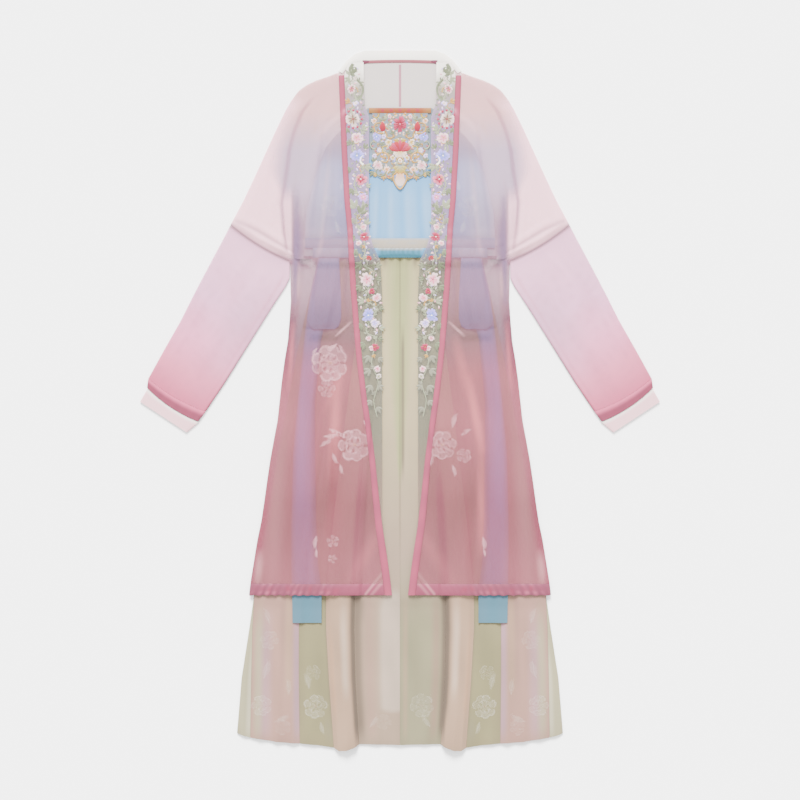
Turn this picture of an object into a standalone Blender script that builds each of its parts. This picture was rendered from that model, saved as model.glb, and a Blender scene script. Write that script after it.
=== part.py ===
"""Hanfu robe set laid out flat, face up: an open coat over a bodice and a panelled skirt with a waist tie.

The tables are in millimetres and the model in metres. X runs across the garment, Y from the hem up to the
collar and Z up from the surface that the set lies on. The right half is described and the left mirrors it.
Every layer of cloth is a closed wall whose underside follows the layer below it.
"""

import math

import bmesh
import bpy
from mathutils import Vector
from mathutils.geometry import delaunay_2d_cdt

MM = 0.001

# Cloth walls
WALL = 1.2
BINDING_WALL = 1.8
TIE_WALL = 1.4
TIE_GAP = 0.5
YOKE_WALL = 1.4
TOP_BAND_WALL = 1.3
WAISTBAND_WALL = 1.1
COLLAR_WALL = 1.3

# Room between layers: at sewn seams, between loose layers, under a gathered cloth, under the whole coat front
SEAM = 0.3
LAYER_GAP = 0.5
REST = 0.4
DRESS_ROOM = 0.8
LOFT = 1.1

# How far to each side a cloth bridges the folds under it, across and along them
BRIDGE = 14.0
BRIDGE_ALONG = 8.0

# Levels along the length
NECK_SEAM = 621.0
BODICE_TOP = 537.0
BODICE_TOP_BAND = 527.5
WAISTBAND_TOP = 298.0
WAIST_TIE_TOP = 279.5
WAIST_SEAM = 265.0
WAIST_TIE_BOTTOM = 262.0
COAT_HEM = -357.0
BINDING_TOP = 597.0
BAND_POINT = -236.0

# Widths of bound edges and trims
FRONT_BINDING_HALF = 5.2
HEM_BINDING = 21.0
TOP_BAND_HALF = 57.0
WAISTBAND_HALF = 174.0
WAIST_TIE_HALF = 160.0

# Sleeves: height of each flattened tube and its wall
SLEEVE_HEIGHT, SLEEVE_WALL = 4.0, 1.1
CUFF_BINDING_HEIGHT, CUFF_BINDING_WALL = 4.6, 1.4
CUFF_HEIGHT, CUFF_WALL = 3.4, 1.0

# Small waves of the ruched pieces: how many steps across and how high
HEM_STEPS, HEM_RUCHE = 34, 0.7
TIE_STEPS, TIE_RUCHE = 44, 1.5

# Collar stand behind the neck: outer edge and the seam to the coat's back, distance from the centre and level
COLLAR_OUTER = [(0, 643), (40, 643), (64, 643), (82, 637), (95, 627), (104, 617), (113, 605.5)]
COLLAR_INNER = [(0, 621), (40, 621), (67, 621), (76, 621), (86, 619.5), (97, 611), (106, 601)]

# Centre line of the pink binding on the coat's front edge: level, distance from the centre
FRONT_EDGE = [
    (597, 107.5), (533, 105), (445, 101.5), (368, 97), (312, 91.5), (211, 86), (143, 80.5), (74, 74.5),
    (4, 66), (-46, 58.5), (-110, 51), (-173, 45.5), (-230, 40), (-283, 32.5), (-327, 26.5), (-357, 23),
]

# Inner edge of the embroidered band: level, distance from the centre
BAND_INNER = [(621, 67), (545, 66), (520, 57), (312, 57), (285, 50), (255, 36), (200, 33), (-236, 33)]
COLLAR_SLOPE = 0.28

# Collar and shoulder line from the neck to the arm seam: distance from the centre, level
SHOULDER = [
    (114.5, 602), (131, 595.5), (153.5, 588), (171, 580), (186, 569), (199.5, 551), (210, 533), (228, 496),
    (253, 441), (270, 404), (287, 368), (311.5, 322),
]

# Ends of the arm seam between the coat and the sleeve, and the start of the coat's free side
ARM_SEAM = [(311.5, 322), (202, 255.5)]
UNDERARM = (201.3, 211)

# Side of the coat below the arm: level, distance from the centre
COAT_SIDE = [
    (211, 201.3), (184, 200.5), (147, 203), (110, 206), (74, 212), (37, 217), (0, 221), (-37, 225),
    (-74, 232), (-110, 238.5), (-147, 244), (-184, 249), (-221, 254.5), (-257, 262), (-294, 268),
    (-331, 274), (-357, 277),
]

# Flattened sleeve: outer edge and lower edge at each ring from the arm seam to the cuff binding
SLEEVE_RINGS = [
    # outer x, outer y, lower x, lower y
    (311.8, 321.6, 202.4, 255.0),
    (318.0, 309.5, 202.4, 242.0),
    (325.0, 296.0, 202.6, 224.0),
    (338.0, 272.0, 210.0, 209.0),
    (356.0, 238.0, 233.0, 174.0),
    (378.0, 196.0, 260.0, 131.0),
    (402.5, 147.0, 289.0, 84.5),
    (433.8, 92.0, 320.0, 34.5),
    (462.3, 40.4, 356.6, -20.2),
]
CUFF_BINDING_END = (464.8, 23.8, 370.0, -38.6)
# How far each ring curves towards the hand, and the places of its points across the sleeve
SLEEVE_SAGS = [5.0, 4.5, 3.5, 2.0, 1.0, 0.0, 0.0, 3.0, 6.0]
RING_SHARES = (0.15, 0.30, 0.44, 0.58, 0.72, 0.86)
SEAM_STEP = (0.17, -0.25)
CUFF_RINGS = [(463.5, 22.3, 369.2, -39.9), (477.5, -2.2, 391.5, -58.8)]

# Bodice half width: level, distance from the centre
BODICE_SIDE = [(537, 59), (505, 97), (487, 118), (463, 137), (415, 155), (345, 172), (265, 177)]
BODICE_ROWS = [537, 505, 487, 463, 415, 380, 345, 300, 265]
BODICE_COLUMNS = 18
GATHER = 2.0

# Embroidered yoke on the bodice: scalloped lower edge, from the side to the pointed centre
YOKE_EDGE = [
    (51, 527.2), (51, 470), (51, 440), (48, 421), (42, 411), (34, 407), (24, 409), (15, 411), (10, 402),
    (5, 393), (0, 389),
]

# Seams of the skirt panels: level, and the distance of each seam from the centre
SKIRT_SEAMS = [
    # level, fold, cream, green, blush, side
    (265, 40, 64, 92, 149, 149),
    (184, 46, 72, 103, 168, 168),
    (92, 53, 84, 120, 188, 188),
    (0, 60, 96, 136, 206, 206),
    (-110, 68, 110, 154, 226, 226),
    (-220, 75, 123, 170, 246, 246),
    (-357, 83, 136, 184, 267.5, 268),
    (-420, 84, 136, 185.5, 271, 277),
    (-510, 82, 131, 185.5, 273, 291),
    (-632, 75, 122, 184, 275, 301),
]
PANELS = ["centre", "cream", "green", "blush", "side"]

# Columns of the skirt's cloth: share across its panel and the height it stands at waist, coat hem and hem
SKIRT_COLUMNS = [
    # panel, share, waist, middle, hem
    ("centre", 0.00, 0.0, 1.6, 2.6),
    ("centre", 0.20, 2.6, 2.2, 1.2),
    ("centre", 0.40, 0.4, 0.4, 0.8),
    ("centre", 0.60, 2.4, 0.2, 2.0),
    ("centre", 0.82, 0.0, 1.0, 0.6),
    ("cream", 0.00, 2.4, 0.4, 0.4),
    ("cream", 0.16, 0.4, 4.2, 8.0),
    ("cream", 0.50, 2.4, 4.8, 9.6),
    ("cream", 0.80, 0.0, 2.8, 6.0),
    ("green", 0.00, 2.2, 0.4, 1.0),
    ("green", 0.35, 0.2, 1.4, 0.8),
    ("green", 0.68, 2.4, 0.4, 2.2),
    ("blush", 0.00, 0.0, 0.6, 0.8),
    ("blush", 0.14, 2.4, 2.2, 4.2),
    ("blush", 0.30, 0.4, 0.4, 1.4),
    ("blush", 0.46, 2.2, 1.8, 3.4),
    ("blush", 0.62, 0.0, 0.4, 0.8),
    ("blush", 0.80, 1.8, 1.4, 3.0),
    ("side", 0.00, 0.0, 0.3, 0.8),
    ("side", 0.55, 0.0, 0.3, 2.2),
    ("side", 1.00, 0.0, 0.0, 0.0),
]
SKIRT_ROWS = [
    265, 238, 205, 160, 105, 50, -30, -110, -190, -270, -330, -357, -369, -384, -420, -480, -540, -595,
]
SKIRT_BACK_SKIPS = (236, 205, 160, 50, -30, -190, -270, -540)
SIDE_PANEL_TOP = -357
FLOOR_LEVEL = -384

# Skirt hem: distance from the centre, level
SKIRT_HEM = [
    (0, -632.5), (74, -631), (83, -636.5), (98, -642), (112, -643), (122, -637.5), (150, -633), (184, -630),
    (225, -627), (275, -619), (290, -615), (301, -611),
]

# Hanging end of the waist tie, and the loop of its bow: level, inner and outer distance from the centre
TIE_TAIL = [
    (261, 112, 150), (200, 124, 164), (110, 145, 176), (0, 156, 187), (-100, 155.5, 196), (-220, 154, 199),
    (-300, 150.5, 199), (-345, 144, 198), (-408, 144, 197),
]
TIE_LOOP = [
    (261, 112, 147), (225, 110, 155), (185, 108, 164), (150, 108, 171), (136, 113, 167), (131, 121, 158),
]

# Soft folds of the coat's fronts: from and to, width and height
COAT_FOLDS = [
    # from x, from y, to x, to y, width, height
    (190, 530, 202, 280, 26, 2.6),
    (222, 478, 236, 330, 24, 1.8),
    (120, 560, 160, 420, 34, 1.6),
    (84, 112, 148, -220, 34, 2.2),
    (176, 170, 214, -60, 30, 1.8),
    (120, 60, 176, -300, 30, 1.4),
    (301, 322, 255, 294, 19, 2.8),
    (258, 296, 204, 267, 19, 2.8),
]

COLOURS = {
    "coat": (0.80, 0.50, 0.52),
    "sleeve": (0.86, 0.62, 0.68),
    "binding": (0.72, 0.30, 0.38),
    "cream": (0.86, 0.82, 0.78),
    "band": (0.66, 0.62, 0.52),
    "blue": (0.50, 0.66, 0.78),
    "gold": (0.62, 0.40, 0.20),
    "yoke": (0.66, 0.46, 0.36),
    "tie": (0.34, 0.54, 0.62),
    "centre": (0.72, 0.66, 0.56),
    "green": (0.52, 0.55, 0.38),
    "blush": (0.70, 0.56, 0.50),
}


# Tables and curves -------------------------------------------------------------------------------


def at_level(table, level, column=1):
    """Reads one column of a table whose rows fall in level, straight between rows and held past its ends."""
    if level >= table[0][0]:
        return table[0][column]
    for high, low in zip(table, table[1:]):
        if level >= low[0]:
            share = (high[0] - level) / (high[0] - low[0])
            return high[column] + share * (low[column] - high[column])
    return table[-1][column]


def hem_level(x):
    """Level of the skirt's hem at a distance from the centre."""
    distance = abs(x)
    for near, far in zip(SKIRT_HEM, SKIRT_HEM[1:]):
        if distance <= far[0]:
            share = (distance - near[0]) / (far[0] - near[0])
            return near[1] + share * (far[1] - near[1])
    return SKIRT_HEM[-1][1]


def ease(share):
    """Soft step from 0 to 1."""
    share = max(0.0, min(1.0, share))
    return share * share * (3 - 2 * share)


def bump(offset, half_width):
    """Soft ridge, 1 on its line and 0 from half_width outwards."""
    return ease(1 - abs(offset) / half_width)


def segment_distance(x, y, start, end):
    """Distance from a point to a straight segment, and the share along it."""
    dx, dy = end[0] - start[0], end[1] - start[1]
    share = ((x - start[0]) * dx + (y - start[1]) * dy) / (dx * dx + dy * dy)
    share = max(0.0, min(1.0, share))
    return math.hypot(x - start[0] - share * dx, y - start[1] - share * dy), share


def path_distance(x, y, path):
    """Distance from a point to a run of segments."""
    return min(segment_distance(x, y, a, b)[0] for a, b in zip(path, path[1:]))


# Outlines ----------------------------------------------------------------------------------------


def front_edge(level):
    return at_level(FRONT_EDGE, level)


def coat_side_path():
    return [(x, y) for y, x in COAT_SIDE]


def arm_seam():
    """Arm seam past its outer end: curved towards the hand to the underarm, then the start of the side."""
    (x0, y0), (x1, y1) = ARM_SEAM
    width = math.hypot(x1 - x0, y1 - y0)
    path = []
    for s in RING_SHARES + (1.0,):
        out = 4 * s * (1 - s) * SLEEVE_SAGS[0] / width
        path.append((x0 + s * (x1 - x0) - out * (y1 - y0), y0 + s * (y1 - y0) + out * (x1 - x0)))
    return path + [UNDERARM]


def shoulder_and_side():
    """Outer edge of the coat from the neck over the shoulder, down the arm seam and the side to the hem."""
    return SHOULDER + arm_seam() + coat_side_path()[1:]


def dense(path, across, along):
    """The path with points added so that no segment is longer than the given steps across and along."""
    points = [path[0]]
    for start, end in zip(path, path[1:]):
        pieces = max(1, math.ceil(max(abs(end[0] - start[0]) / across, abs(end[1] - start[1]) / along)))
        for i in range(1, pieces + 1):
            share = i / pieces
            points.append((start[0] + share * (end[0] - start[0]), start[1] + share * (end[1] - start[1])))
    return points


# Heights -----------------------------------------------------------------------------------------


def bed(y):
    """Height that the skirt's back lies at: over the coat's back, then down to the floor past its hem."""
    return (WALL + LAYER_GAP) * (1 - ease((COAT_HEM - y) / (COAT_HEM - FLOOR_LEVEL)))


def column_x(panel, share, level):
    """Distance of a skirt column from the centre at a level."""
    k = PANELS.index(panel)
    inner = 0.0 if k == 0 else at_level(SKIRT_SEAMS, level, k)
    outer = at_level(SKIRT_SEAMS, level, k + 1)
    return inner + share * (outer - inner)


def column_height(row, level):
    """Height that a skirt column stands above the flat cloth at a level."""
    waist, middle, hem = row[2:]
    gathered = waist * (1 - ease((WAIST_SEAM - level) / 120))
    low = middle * ease((190 - level) / 300)
    low += (hem - middle) * ease((-290 - level) / 330)
    return gathered + low


def skirt_fold(x, y):
    """Height of the skirt's folds at a point, straight between its columns."""
    distance = abs(x)
    places = [(column_x(row[0], row[1], y), column_height(row, y)) for row in SKIRT_COLUMNS]
    for near, far in zip(places, places[1:]):
        if distance <= far[0] and far[0] > near[0]:
            share = max(0.0, (distance - near[0]) / (far[0] - near[0]))
            return near[1] + share * (far[1] - near[1])
    return 0.0


def gather_height(share, y):
    """How high the bodice's gathers stand: none under the yoke or at the sides, most above the waistband."""
    fall = max(0.0, min(1.0, (y - WAIST_SEAM) / 39))
    return GATHER * ease((1 - share) / 0.12) * ease((412 - y) / 60) * (0.4 + 0.6 * fall)


def dress_bridge(x, y):
    """Height of a cloth that lies over the folds and gathers of the bodice and the skirt."""
    if y > WAIST_SEAM:
        return gather_height(min(1.0, abs(x) / at_level(BODICE_SIDE, y)), y)
    return max(skirt_fold(x + dx, y) for dx in (-BRIDGE, -BRIDGE / 2, 0, BRIDGE / 2, BRIDGE))


def dress_half_width(y):
    if y > WAIST_SEAM:
        return at_level(BODICE_SIDE, y)
    return at_level(SKIRT_SEAMS, y, 5)


def dress_base(y):
    """Underside of the dress's front where it has no fold."""
    return bed(y) + WALL + SEAM


def dress_lift(x, y):
    """Room that the dress takes under whatever lies on it, with its folds bridged and its edges eased out."""
    folds = max(dress_bridge(x, y + dy) for dy in (-BRIDGE_ALONG, BRIDGE_ALONG))
    outside = abs(x) - max(dress_half_width(y + dy) for dy in (-22, 0, 8))
    beside = 1 - ease((outside - 2) / 16)
    above = 1 - ease((y - BODICE_TOP - 12) / 26)
    return (2 * WALL + LAYER_GAP + DRESS_ROOM + folds + trim_lift(y)) * beside * above


def trim_lift(y):
    """Room that the waistband and the ruched tie take."""
    band = 1.6 * ease((WAISTBAND_TOP + 20 - y) / 14)
    tie = 2.6 * ease((WAIST_TIE_TOP + 18 - y) / 14)
    return (band + tie) * ease((y - WAIST_TIE_BOTTOM + 22) / 16)


def tie_lift(x, y):
    """Room that the tie's ends and loops take under the coat."""
    distance = abs(x)
    tail_inner, tail_outer = at_level(TIE_TAIL, y, 1), at_level(TIE_TAIL, y, 2)
    loop_inner, loop_outer = at_level(TIE_LOOP, y, 1), at_level(TIE_LOOP, y, 2)
    above = 1 - ease((y - 262) / 20)
    tail = bump(max(tail_inner - distance, distance - tail_outer, 0.0), 14)
    loop = bump(max(loop_inner - distance, distance - loop_outer, 0.0), 16)
    loop *= 1 - ease((124 - y) / 18)
    return above * (tail * (TIE_WALL + 0.9) + loop * (TIE_WALL * 2 + 1.1))


def coat_fold(x, y):
    """Soft folds of the coat's front, the last of them above the arm seam."""
    height = 0.0
    for x0, y0, x1, y1, width, tall in COAT_FOLDS:
        distance, share = segment_distance(abs(x), y, (x0, y0), (x1, y1))
        height += tall * bump(distance, width / 2) * math.sin(math.pi * (0.15 + 0.7 * share))
    return height


OUTER_EDGE = shoulder_and_side()


def over(x, y):
    """Underside of the coat's front: on its back along the sewn edges, over the dress and tie elsewhere."""
    edge = path_distance(abs(x), y, OUTER_EDGE)
    inside = ease(edge / 16)
    return WALL + SEAM + LOFT * inside + dress_lift(x, y) + tie_lift(x, y) + coat_fold(x, y) * inside


# Building ----------------------------------------------------------------------------------------


def material(colour):
    name = "cloth_" + colour
    if name in bpy.data.materials:
        return bpy.data.materials[name]
    made = bpy.data.materials.new(name)
    made.use_nodes = True
    shader = made.node_tree.nodes["Principled BSDF"]
    shader.inputs["Base Color"].default_value = (*COLOURS[colour], 1.0)
    shader.inputs["Roughness"].default_value = 0.75
    shader.inputs["Metallic"].default_value = 0.0
    return made


def add_object(name, points, faces, colour):
    """Makes a named object from points in millimetres and its faces."""
    mesh = bpy.data.meshes.new(name)
    mesh.from_pydata([Vector(p) * MM for p in points], [], faces)
    solid = bmesh.new()
    solid.from_mesh(mesh)
    bmesh.ops.recalc_face_normals(solid, faces=solid.faces)
    solid.to_mesh(mesh)
    solid.free()
    mesh.shade_smooth()
    mesh.set_sharp_from_angle(angle=math.radians(40))
    mesh.materials.append(material(colour))
    made = bpy.data.objects.new(name, mesh)
    bpy.context.scene.collection.objects.link(made)
    return made


def steep_wall(underside, x, y, wall):
    """Upright thickness that keeps the wall's thickness square to a sloping cloth."""
    step = 1.5
    slope_x = (underside(x + step, y) - underside(x - step, y)) / (2 * step)
    slope_y = (underside(x, y + step) - underside(x, y - step)) / (2 * step)
    return wall * min(1.5, math.hypot(1, slope_x, slope_y))


def panel(name, side, outline, underside, wall, colour, spacing=(14, 46)):
    """Sheet of cloth with a free outline: its underside follows a height, and its inside has a lattice."""
    outline = dense(outline + outline[:1], spacing[0], spacing[1])[:-1]
    edges = list(zip(outline, outline[1:] + outline[:1]))
    xs = [p[0] for p in outline]
    ys = [p[1] for p in outline]
    inside = []
    for k in range(int((max(ys) - min(ys)) / spacing[1])):
        y = min(ys) + spacing[1] * (k + 0.5)
        columns = int((max(xs) - min(xs)) / spacing[0]) + 1
        for i in range(columns):
            x = min(xs) + spacing[0] * (i + 0.5)
            crossings = sum((a[1] > y) != (b[1] > y) and x < a[0] + (y - a[1]) / (b[1] - a[1]) * (b[0] - a[0])
                            for a, b in edges)
            if crossings % 2 and path_distance(x, y, outline + outline[:1]) > 0.4 * spacing[0]:
                inside.append((x, y))
    count = len(outline)
    flat, _, triangles, _, _, _ = delaunay_2d_cdt(
        [Vector(p) for p in outline + inside], [], [list(range(count))], 1, 1e-6
    )
    low, high = [], []
    for p in flat:
        x = p.x * side
        z = underside(x, p.y)
        low.append((x, p.y, z))
        high.append((x, p.y, z + steep_wall(underside, x, p.y, wall)))
    n = len(flat)
    faces = [tuple(reversed(t)) for t in triangles] + [tuple(i + n for i in t) for t in triangles]
    used = {(a, b): True for t in triangles for a, b in zip(t, t[1:] + t[:1])}
    faces += [(a, b, b + n, a + n) for a, b in used if (b, a) not in used]
    return add_object(name, low + high, faces, colour)


def sheet(name, grid, colour):
    """Closed wall from a grid: each grid point is (x, y, underside, top)."""
    rows, columns = len(grid), len(grid[0])
    low = [(x, y, z) for line in grid for x, y, z, _ in line]
    high = [(x, y, z) for line in grid for x, y, _, z in line]
    n = rows * columns
    faces = []
    for r in range(rows - 1):
        for c in range(columns - 1):
            a, b = r * columns + c, r * columns + c + 1
            d, e = a + columns, b + columns
            faces += [(a, b, e, d), (a + n, d + n, e + n, b + n)]
    for r in range(rows - 1):
        for c in (0, columns - 1):
            a, d = r * columns + c, (r + 1) * columns + c
            faces.append((a, d, d + n, a + n) if c == 0 else (d, a, a + n, d + n))
    for c in range(columns - 1):
        for r in (0, rows - 1):
            a, b = r * columns + c, r * columns + c + 1
            faces.append((b, a, a + n, b + n) if r == 0 else (a, b, b + n, a + n))
    return add_object(name, low + high, faces, colour)


def tube(name, side, rings, height, wall, colour, sags=(), fold=None):
    """Flattened tube open at both ends: each ring joins an outer edge point to a lower edge point.

    A sag curves a ring towards the hand, most in its middle; the rings past the end of the list have none.
    """
    loops = []
    for k, (x0, y0, x1, y1) in enumerate(rings):
        width = math.hypot(x1 - x0, y1 - y0)
        sag = sags[k] if k < len(sags) else 0.0
        ends = [(0.0, 0.5), (0.7, 0.16), (2.4, 0.0)]
        outer = [(d, z * height) for d, z in ends]
        outer += [(width * s, 0.0) for s in RING_SHARES]
        outer += [(width - d, z * height) for d, z in reversed(ends)]
        outer += [(width - d, (1 - z) * height) for d, z in ends[1:]]
        outer += [(width * s, height + (fold(k, s) if fold else 0.0)) for s in reversed(RING_SHARES)]
        outer += [(d, (1 - z) * height) for d, z in reversed(ends[1:])]
        inner = []
        for d, z in outer:
            edge = min(d, width - d)
            inset = wall * max(0.0, 1 - edge / 2.4) * 0.9
            lift = wall if z < 0.1 * height else -wall if z > 0.9 * height else 0.0
            if 0.1 * height <= z < 0.4 * height:
                lift = 0.55 * wall
            elif 0.6 * height < z <= 0.9 * height:
                lift = -0.55 * wall
            inner.append((d + inset if d < width / 2 else d - inset, z + lift))
        ring = []
        for d, z in outer + inner:
            s = d / width
            out = 4 * s * (1 - s) * sag / width
            x = x0 + s * (x1 - x0) - out * (y1 - y0)
            y = y0 + s * (y1 - y0) + out * (x1 - x0)
            ring.append((side * x, y, z))
        loops.append(ring)
    count = len(loops[0]) // 2
    points = [p for ring in loops for p in ring]
    faces = []
    for k in range(len(loops) - 1):
        here, there = k * 2 * count, (k + 1) * 2 * count
        for i in range(count):
            j = (i + 1) % count
            faces.append((here + i, here + j, there + j, there + i))
            faces.append((here + count + j, here + count + i, there + count + i, there + count + j))
    for k in (0, len(loops) - 1):
        here = k * 2 * count
        for i in range(count):
            j = (i + 1) % count
            faces.append((here + i, here + j, here + count + j, here + count + i))
    return add_object(name, points, faces, colour)


# The coat ----------------------------------------------------------------------------------------


def coat_back(side, label):
    """Back of the coat, flat on the floor, from the centre back seam to the shoulder, arm seam and side."""
    hem = COAT_HEM + HEM_BINDING
    side_path = [p for p in coat_side_path()[1:] if p[1] > hem] + [(at_level(COAT_SIDE, hem), hem)]
    outer = SHOULDER + arm_seam() + side_path
    neck = [(SEAM / 2, NECK_SEAM - SEAM)] + [(x, y - SEAM) for x, y in COLLAR_INNER[2:]]
    outline = [(SEAM / 2, hem)] + neck + outer
    panel("coat_back_" + label, side, outline[::-1], lambda x, y: 0.0, WALL, "coat", (60, 160))


def coat_front(side, label):
    """Front of the coat, from its bound front edge to the shoulder, the arm seam and the side."""
    hem = COAT_HEM + HEM_BINDING + SEAM
    top = SHOULDER[0]
    side_path = [p for p in coat_side_path()[1:] if p[1] > hem] + [(at_level(COAT_SIDE, hem), hem)]
    outer = SHOULDER[1:] + arm_seam() + side_path
    offset = FRONT_BINDING_HALF + SEAM
    levels = [y for y in front_levels(BINDING_TOP, COAT_HEM) if hem < y < top[1] - 8]
    front = [(front_edge(hem) + offset, hem)] + [(front_edge(y) + offset, y) for y in reversed(levels)]
    outline = front + [(front_edge(BINDING_TOP) + offset + 1.5, BINDING_TOP + 4)] + outer
    panel("coat_front_" + label, side, outline[::-1], over, WALL, "coat")


def hem_binding_front(side, label):
    """Narrow ruched binding along the hem of one front."""
    top, bottom = COAT_HEM + HEM_BINDING, COAT_HEM
    grid = []
    for share in (0.0, 0.5, 1.0):
        y = top + share * (bottom - top)
        start = front_edge(y) + FRONT_BINDING_HALF + SEAM
        end = at_level(COAT_SIDE, y)
        line = []
        for i in range(HEM_STEPS + 1):
            x = (start + (end - start) * i / HEM_STEPS) * side
            z = over(x, y)
            ruche = HEM_RUCHE * (i % 2)
            line.append((x, y, z, z + BINDING_WALL + ruche * (1 - 0.5 * abs(2 * share - 1))))
        grid.append(line if side > 0 else line[::-1])
    sheet("hem_binding_front_" + label, grid, "binding")


def hem_binding_back():
    """Binding along the hem of the coat's back, flat on the floor."""
    grid = []
    for y in (COAT_HEM + HEM_BINDING - SEAM, COAT_HEM):
        end = at_level(COAT_SIDE, y)
        grid.append([(end * s, y, 0.0, WALL + 0.2) for s in (-1, -0.5, 0, 0.5, 1)])
    sheet("hem_binding_back", grid, "binding")


def front_levels(top, bottom, step=36):
    """Levels between two heights at about equal steps."""
    count = round((top - bottom) / step)
    return [top + (bottom - top) * k / count for k in range(count + 1)]


def front_binding(side, label):
    """Raised pink binding down the coat's front edge, from the collar to the hem."""
    grid = []
    for y in front_levels(BINDING_TOP, COAT_HEM):
        centre = front_edge(y)
        half = FRONT_BINDING_HALF + 1.6 * ease((-60 - y) / 250)
        line = []
        for offset, crown in ((-half, 0.0), (0.0, 0.5), (half, 0.0)):
            x = (centre + offset - (half - FRONT_BINDING_HALF)) * side
            z = over(x, y)
            line.append((x, y, z, z + BINDING_WALL + crown))
        grid.append(line if side > 0 else line[::-1])
    sheet("front_binding_" + label, grid, "binding")


def front_band(side, label):
    """Embroidered sheer band inside the front edge, from the collar down to where the edge meets it."""
    grid = []
    for y in front_levels(NECK_SEAM - SEAM, BAND_POINT, 34):
        half = FRONT_BINDING_HALF + 3.2 * ease((-60 - y) / 250)
        outer = front_edge(y) - half - SEAM
        if y > BINDING_TOP:
            outer -= (y - BINDING_TOP) * COLLAR_SLOPE
        inner = min(at_level(BAND_INNER, y), outer - 1.2)
        line = []
        for share in (0.0, 0.35, 0.7, 1.0):
            x = (inner + share * (outer - inner)) * side
            z = over(x, y)
            line.append((x, y, z, z + WALL))
        grid.append(line if side > 0 else line[::-1])
    sheet("front_band_" + label, grid, "band")


def collar_back():
    """Cream collar stand behind the neck, which turns down to the tops of the front bands."""
    grid = []
    for share in (0.0, 0.5, 1.0):
        half = [
            (a[0] + share * (b[0] - a[0]), a[1] + share * (b[1] - a[1]))
            for a, b in zip(COLLAR_OUTER, COLLAR_INNER)
        ]
        line = [(-x, y) for x, y in reversed(half[1:])] + half
        grid.append([(x, y, 0.0, COLLAR_WALL + 0.5 * (1 - abs(2 * share - 1))) for x, y in line])
    sheet("collar_back", grid, "cream")


# The sleeves -------------------------------------------------------------------------------------


def sleeve_fold(k, share):
    """Height of the sleeve's soft folds at a ring: a crease beside the arm seam, then long shallow ones."""
    seam = 1.3 * ease(1 - k / 2) * math.sin(math.pi * share)
    long = 1.1 * bump(share - 0.32 - 0.03 * k, 0.16) * ease(k / 3) * ease((8 - k) / 3)
    second = 0.8 * bump(share - 0.72 + 0.02 * k, 0.14) * ease((k - 1) / 3) * ease((8 - k) / 2)
    return seam + long + second


def sleeve(side, label):
    tube("sleeve_" + label, side, SLEEVE_RINGS, SLEEVE_HEIGHT, SLEEVE_WALL, "sleeve", SLEEVE_SAGS, sleeve_fold)


def cuff(side, label):
    """Pink cuff binding and the cream cuff that shows past it."""
    x_step, y_step = SEAM_STEP
    x0, y0, x1, y1 = SLEEVE_RINGS[-1]
    start = (x0 + x_step, y0 + y_step, x1 + x_step, y1 + y_step)
    middle = tuple((a + b) / 2 for a, b in zip(start, CUFF_BINDING_END))
    rings = [start, middle, CUFF_BINDING_END]
    sags = SLEEVE_SAGS[-1:] * 3
    tube("cuff_binding_" + label, side, rings, CUFF_BINDING_HEIGHT, CUFF_BINDING_WALL, "binding", sags)
    first, last = CUFF_RINGS
    middle = tuple((a + b) / 2 for a, b in zip(first, last))
    sags = [SLEEVE_SAGS[-1], SLEEVE_SAGS[-1] / 2]
    tube("cuff_" + label, side, [first, middle, last], CUFF_HEIGHT, CUFF_WALL, "cream", sags)


# The bodice --------------------------------------------------------------------------------------


def bodice_row(y, half_columns):
    half = at_level(BODICE_SIDE, y)
    return [half * c / half_columns for c in range(-half_columns, half_columns + 1)]


def bodice_back():
    """Plain back of the bodice, under its front."""
    grid = []
    for y, _ in BODICE_SIDE:
        level = max(y, WAIST_SEAM + SEAM)
        grid.append([(x, level, bed(level), bed(level) + WALL) for x in bodice_row(level, 3)])
    sheet("bodice_back", grid, "blue")


def bodice_front():
    """Bodice front, flat under the yoke and gathered into the waistband."""
    grid = []
    for y in BODICE_ROWS:
        level = max(y, WAIST_SEAM + SEAM)
        line = []
        for c, x in enumerate(bodice_row(level, BODICE_COLUMNS)):
            share = abs(c - BODICE_COLUMNS) / BODICE_COLUMNS
            ridge = (c - BODICE_COLUMNS) % 2
            z = dress_base(level) + REST * ease((1 - share) / 0.06) + ridge * gather_height(share, level)
            line.append((x, level, z, z + WALL))
        grid.append(line)
    sheet("bodice_front", grid, "blue")


def bodice_surface(x, y):
    """Top of the bodice front, with its gathers bridged."""
    share = min(1.0, abs(x) / at_level(BODICE_SIDE, y))
    return dress_base(y) + 0.5 + gather_height(share, y) + WALL


def bodice_top_band():
    """Narrow gold band along the top of the bodice."""
    grid = []
    for y in (BODICE_TOP, (BODICE_TOP + BODICE_TOP_BAND) / 2, BODICE_TOP_BAND):
        crown = 0.5 if BODICE_TOP_BAND < y < BODICE_TOP else 0.0
        line = []
        for i in range(-4, 5):
            z = dress_base(y) + REST + WALL + SEAM
            line.append((TOP_BAND_HALF * i / 4, y, z, z + TOP_BAND_WALL + crown))
        grid.append(line)
    sheet("bodice_top_band", grid, "gold")


def bodice_yoke():
    """Raised yoke that carries the embroidery, scalloped to a point at the centre."""
    half = YOKE_EDGE
    outline = half + [(-x, y) for x, y in reversed(half[:-1])]

    def underside(x, y):
        return bodice_surface(x, y) + SEAM

    panel("bodice_yoke", 1, outline[::-1], underside, YOKE_WALL, "yoke", (15, 22))


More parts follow.
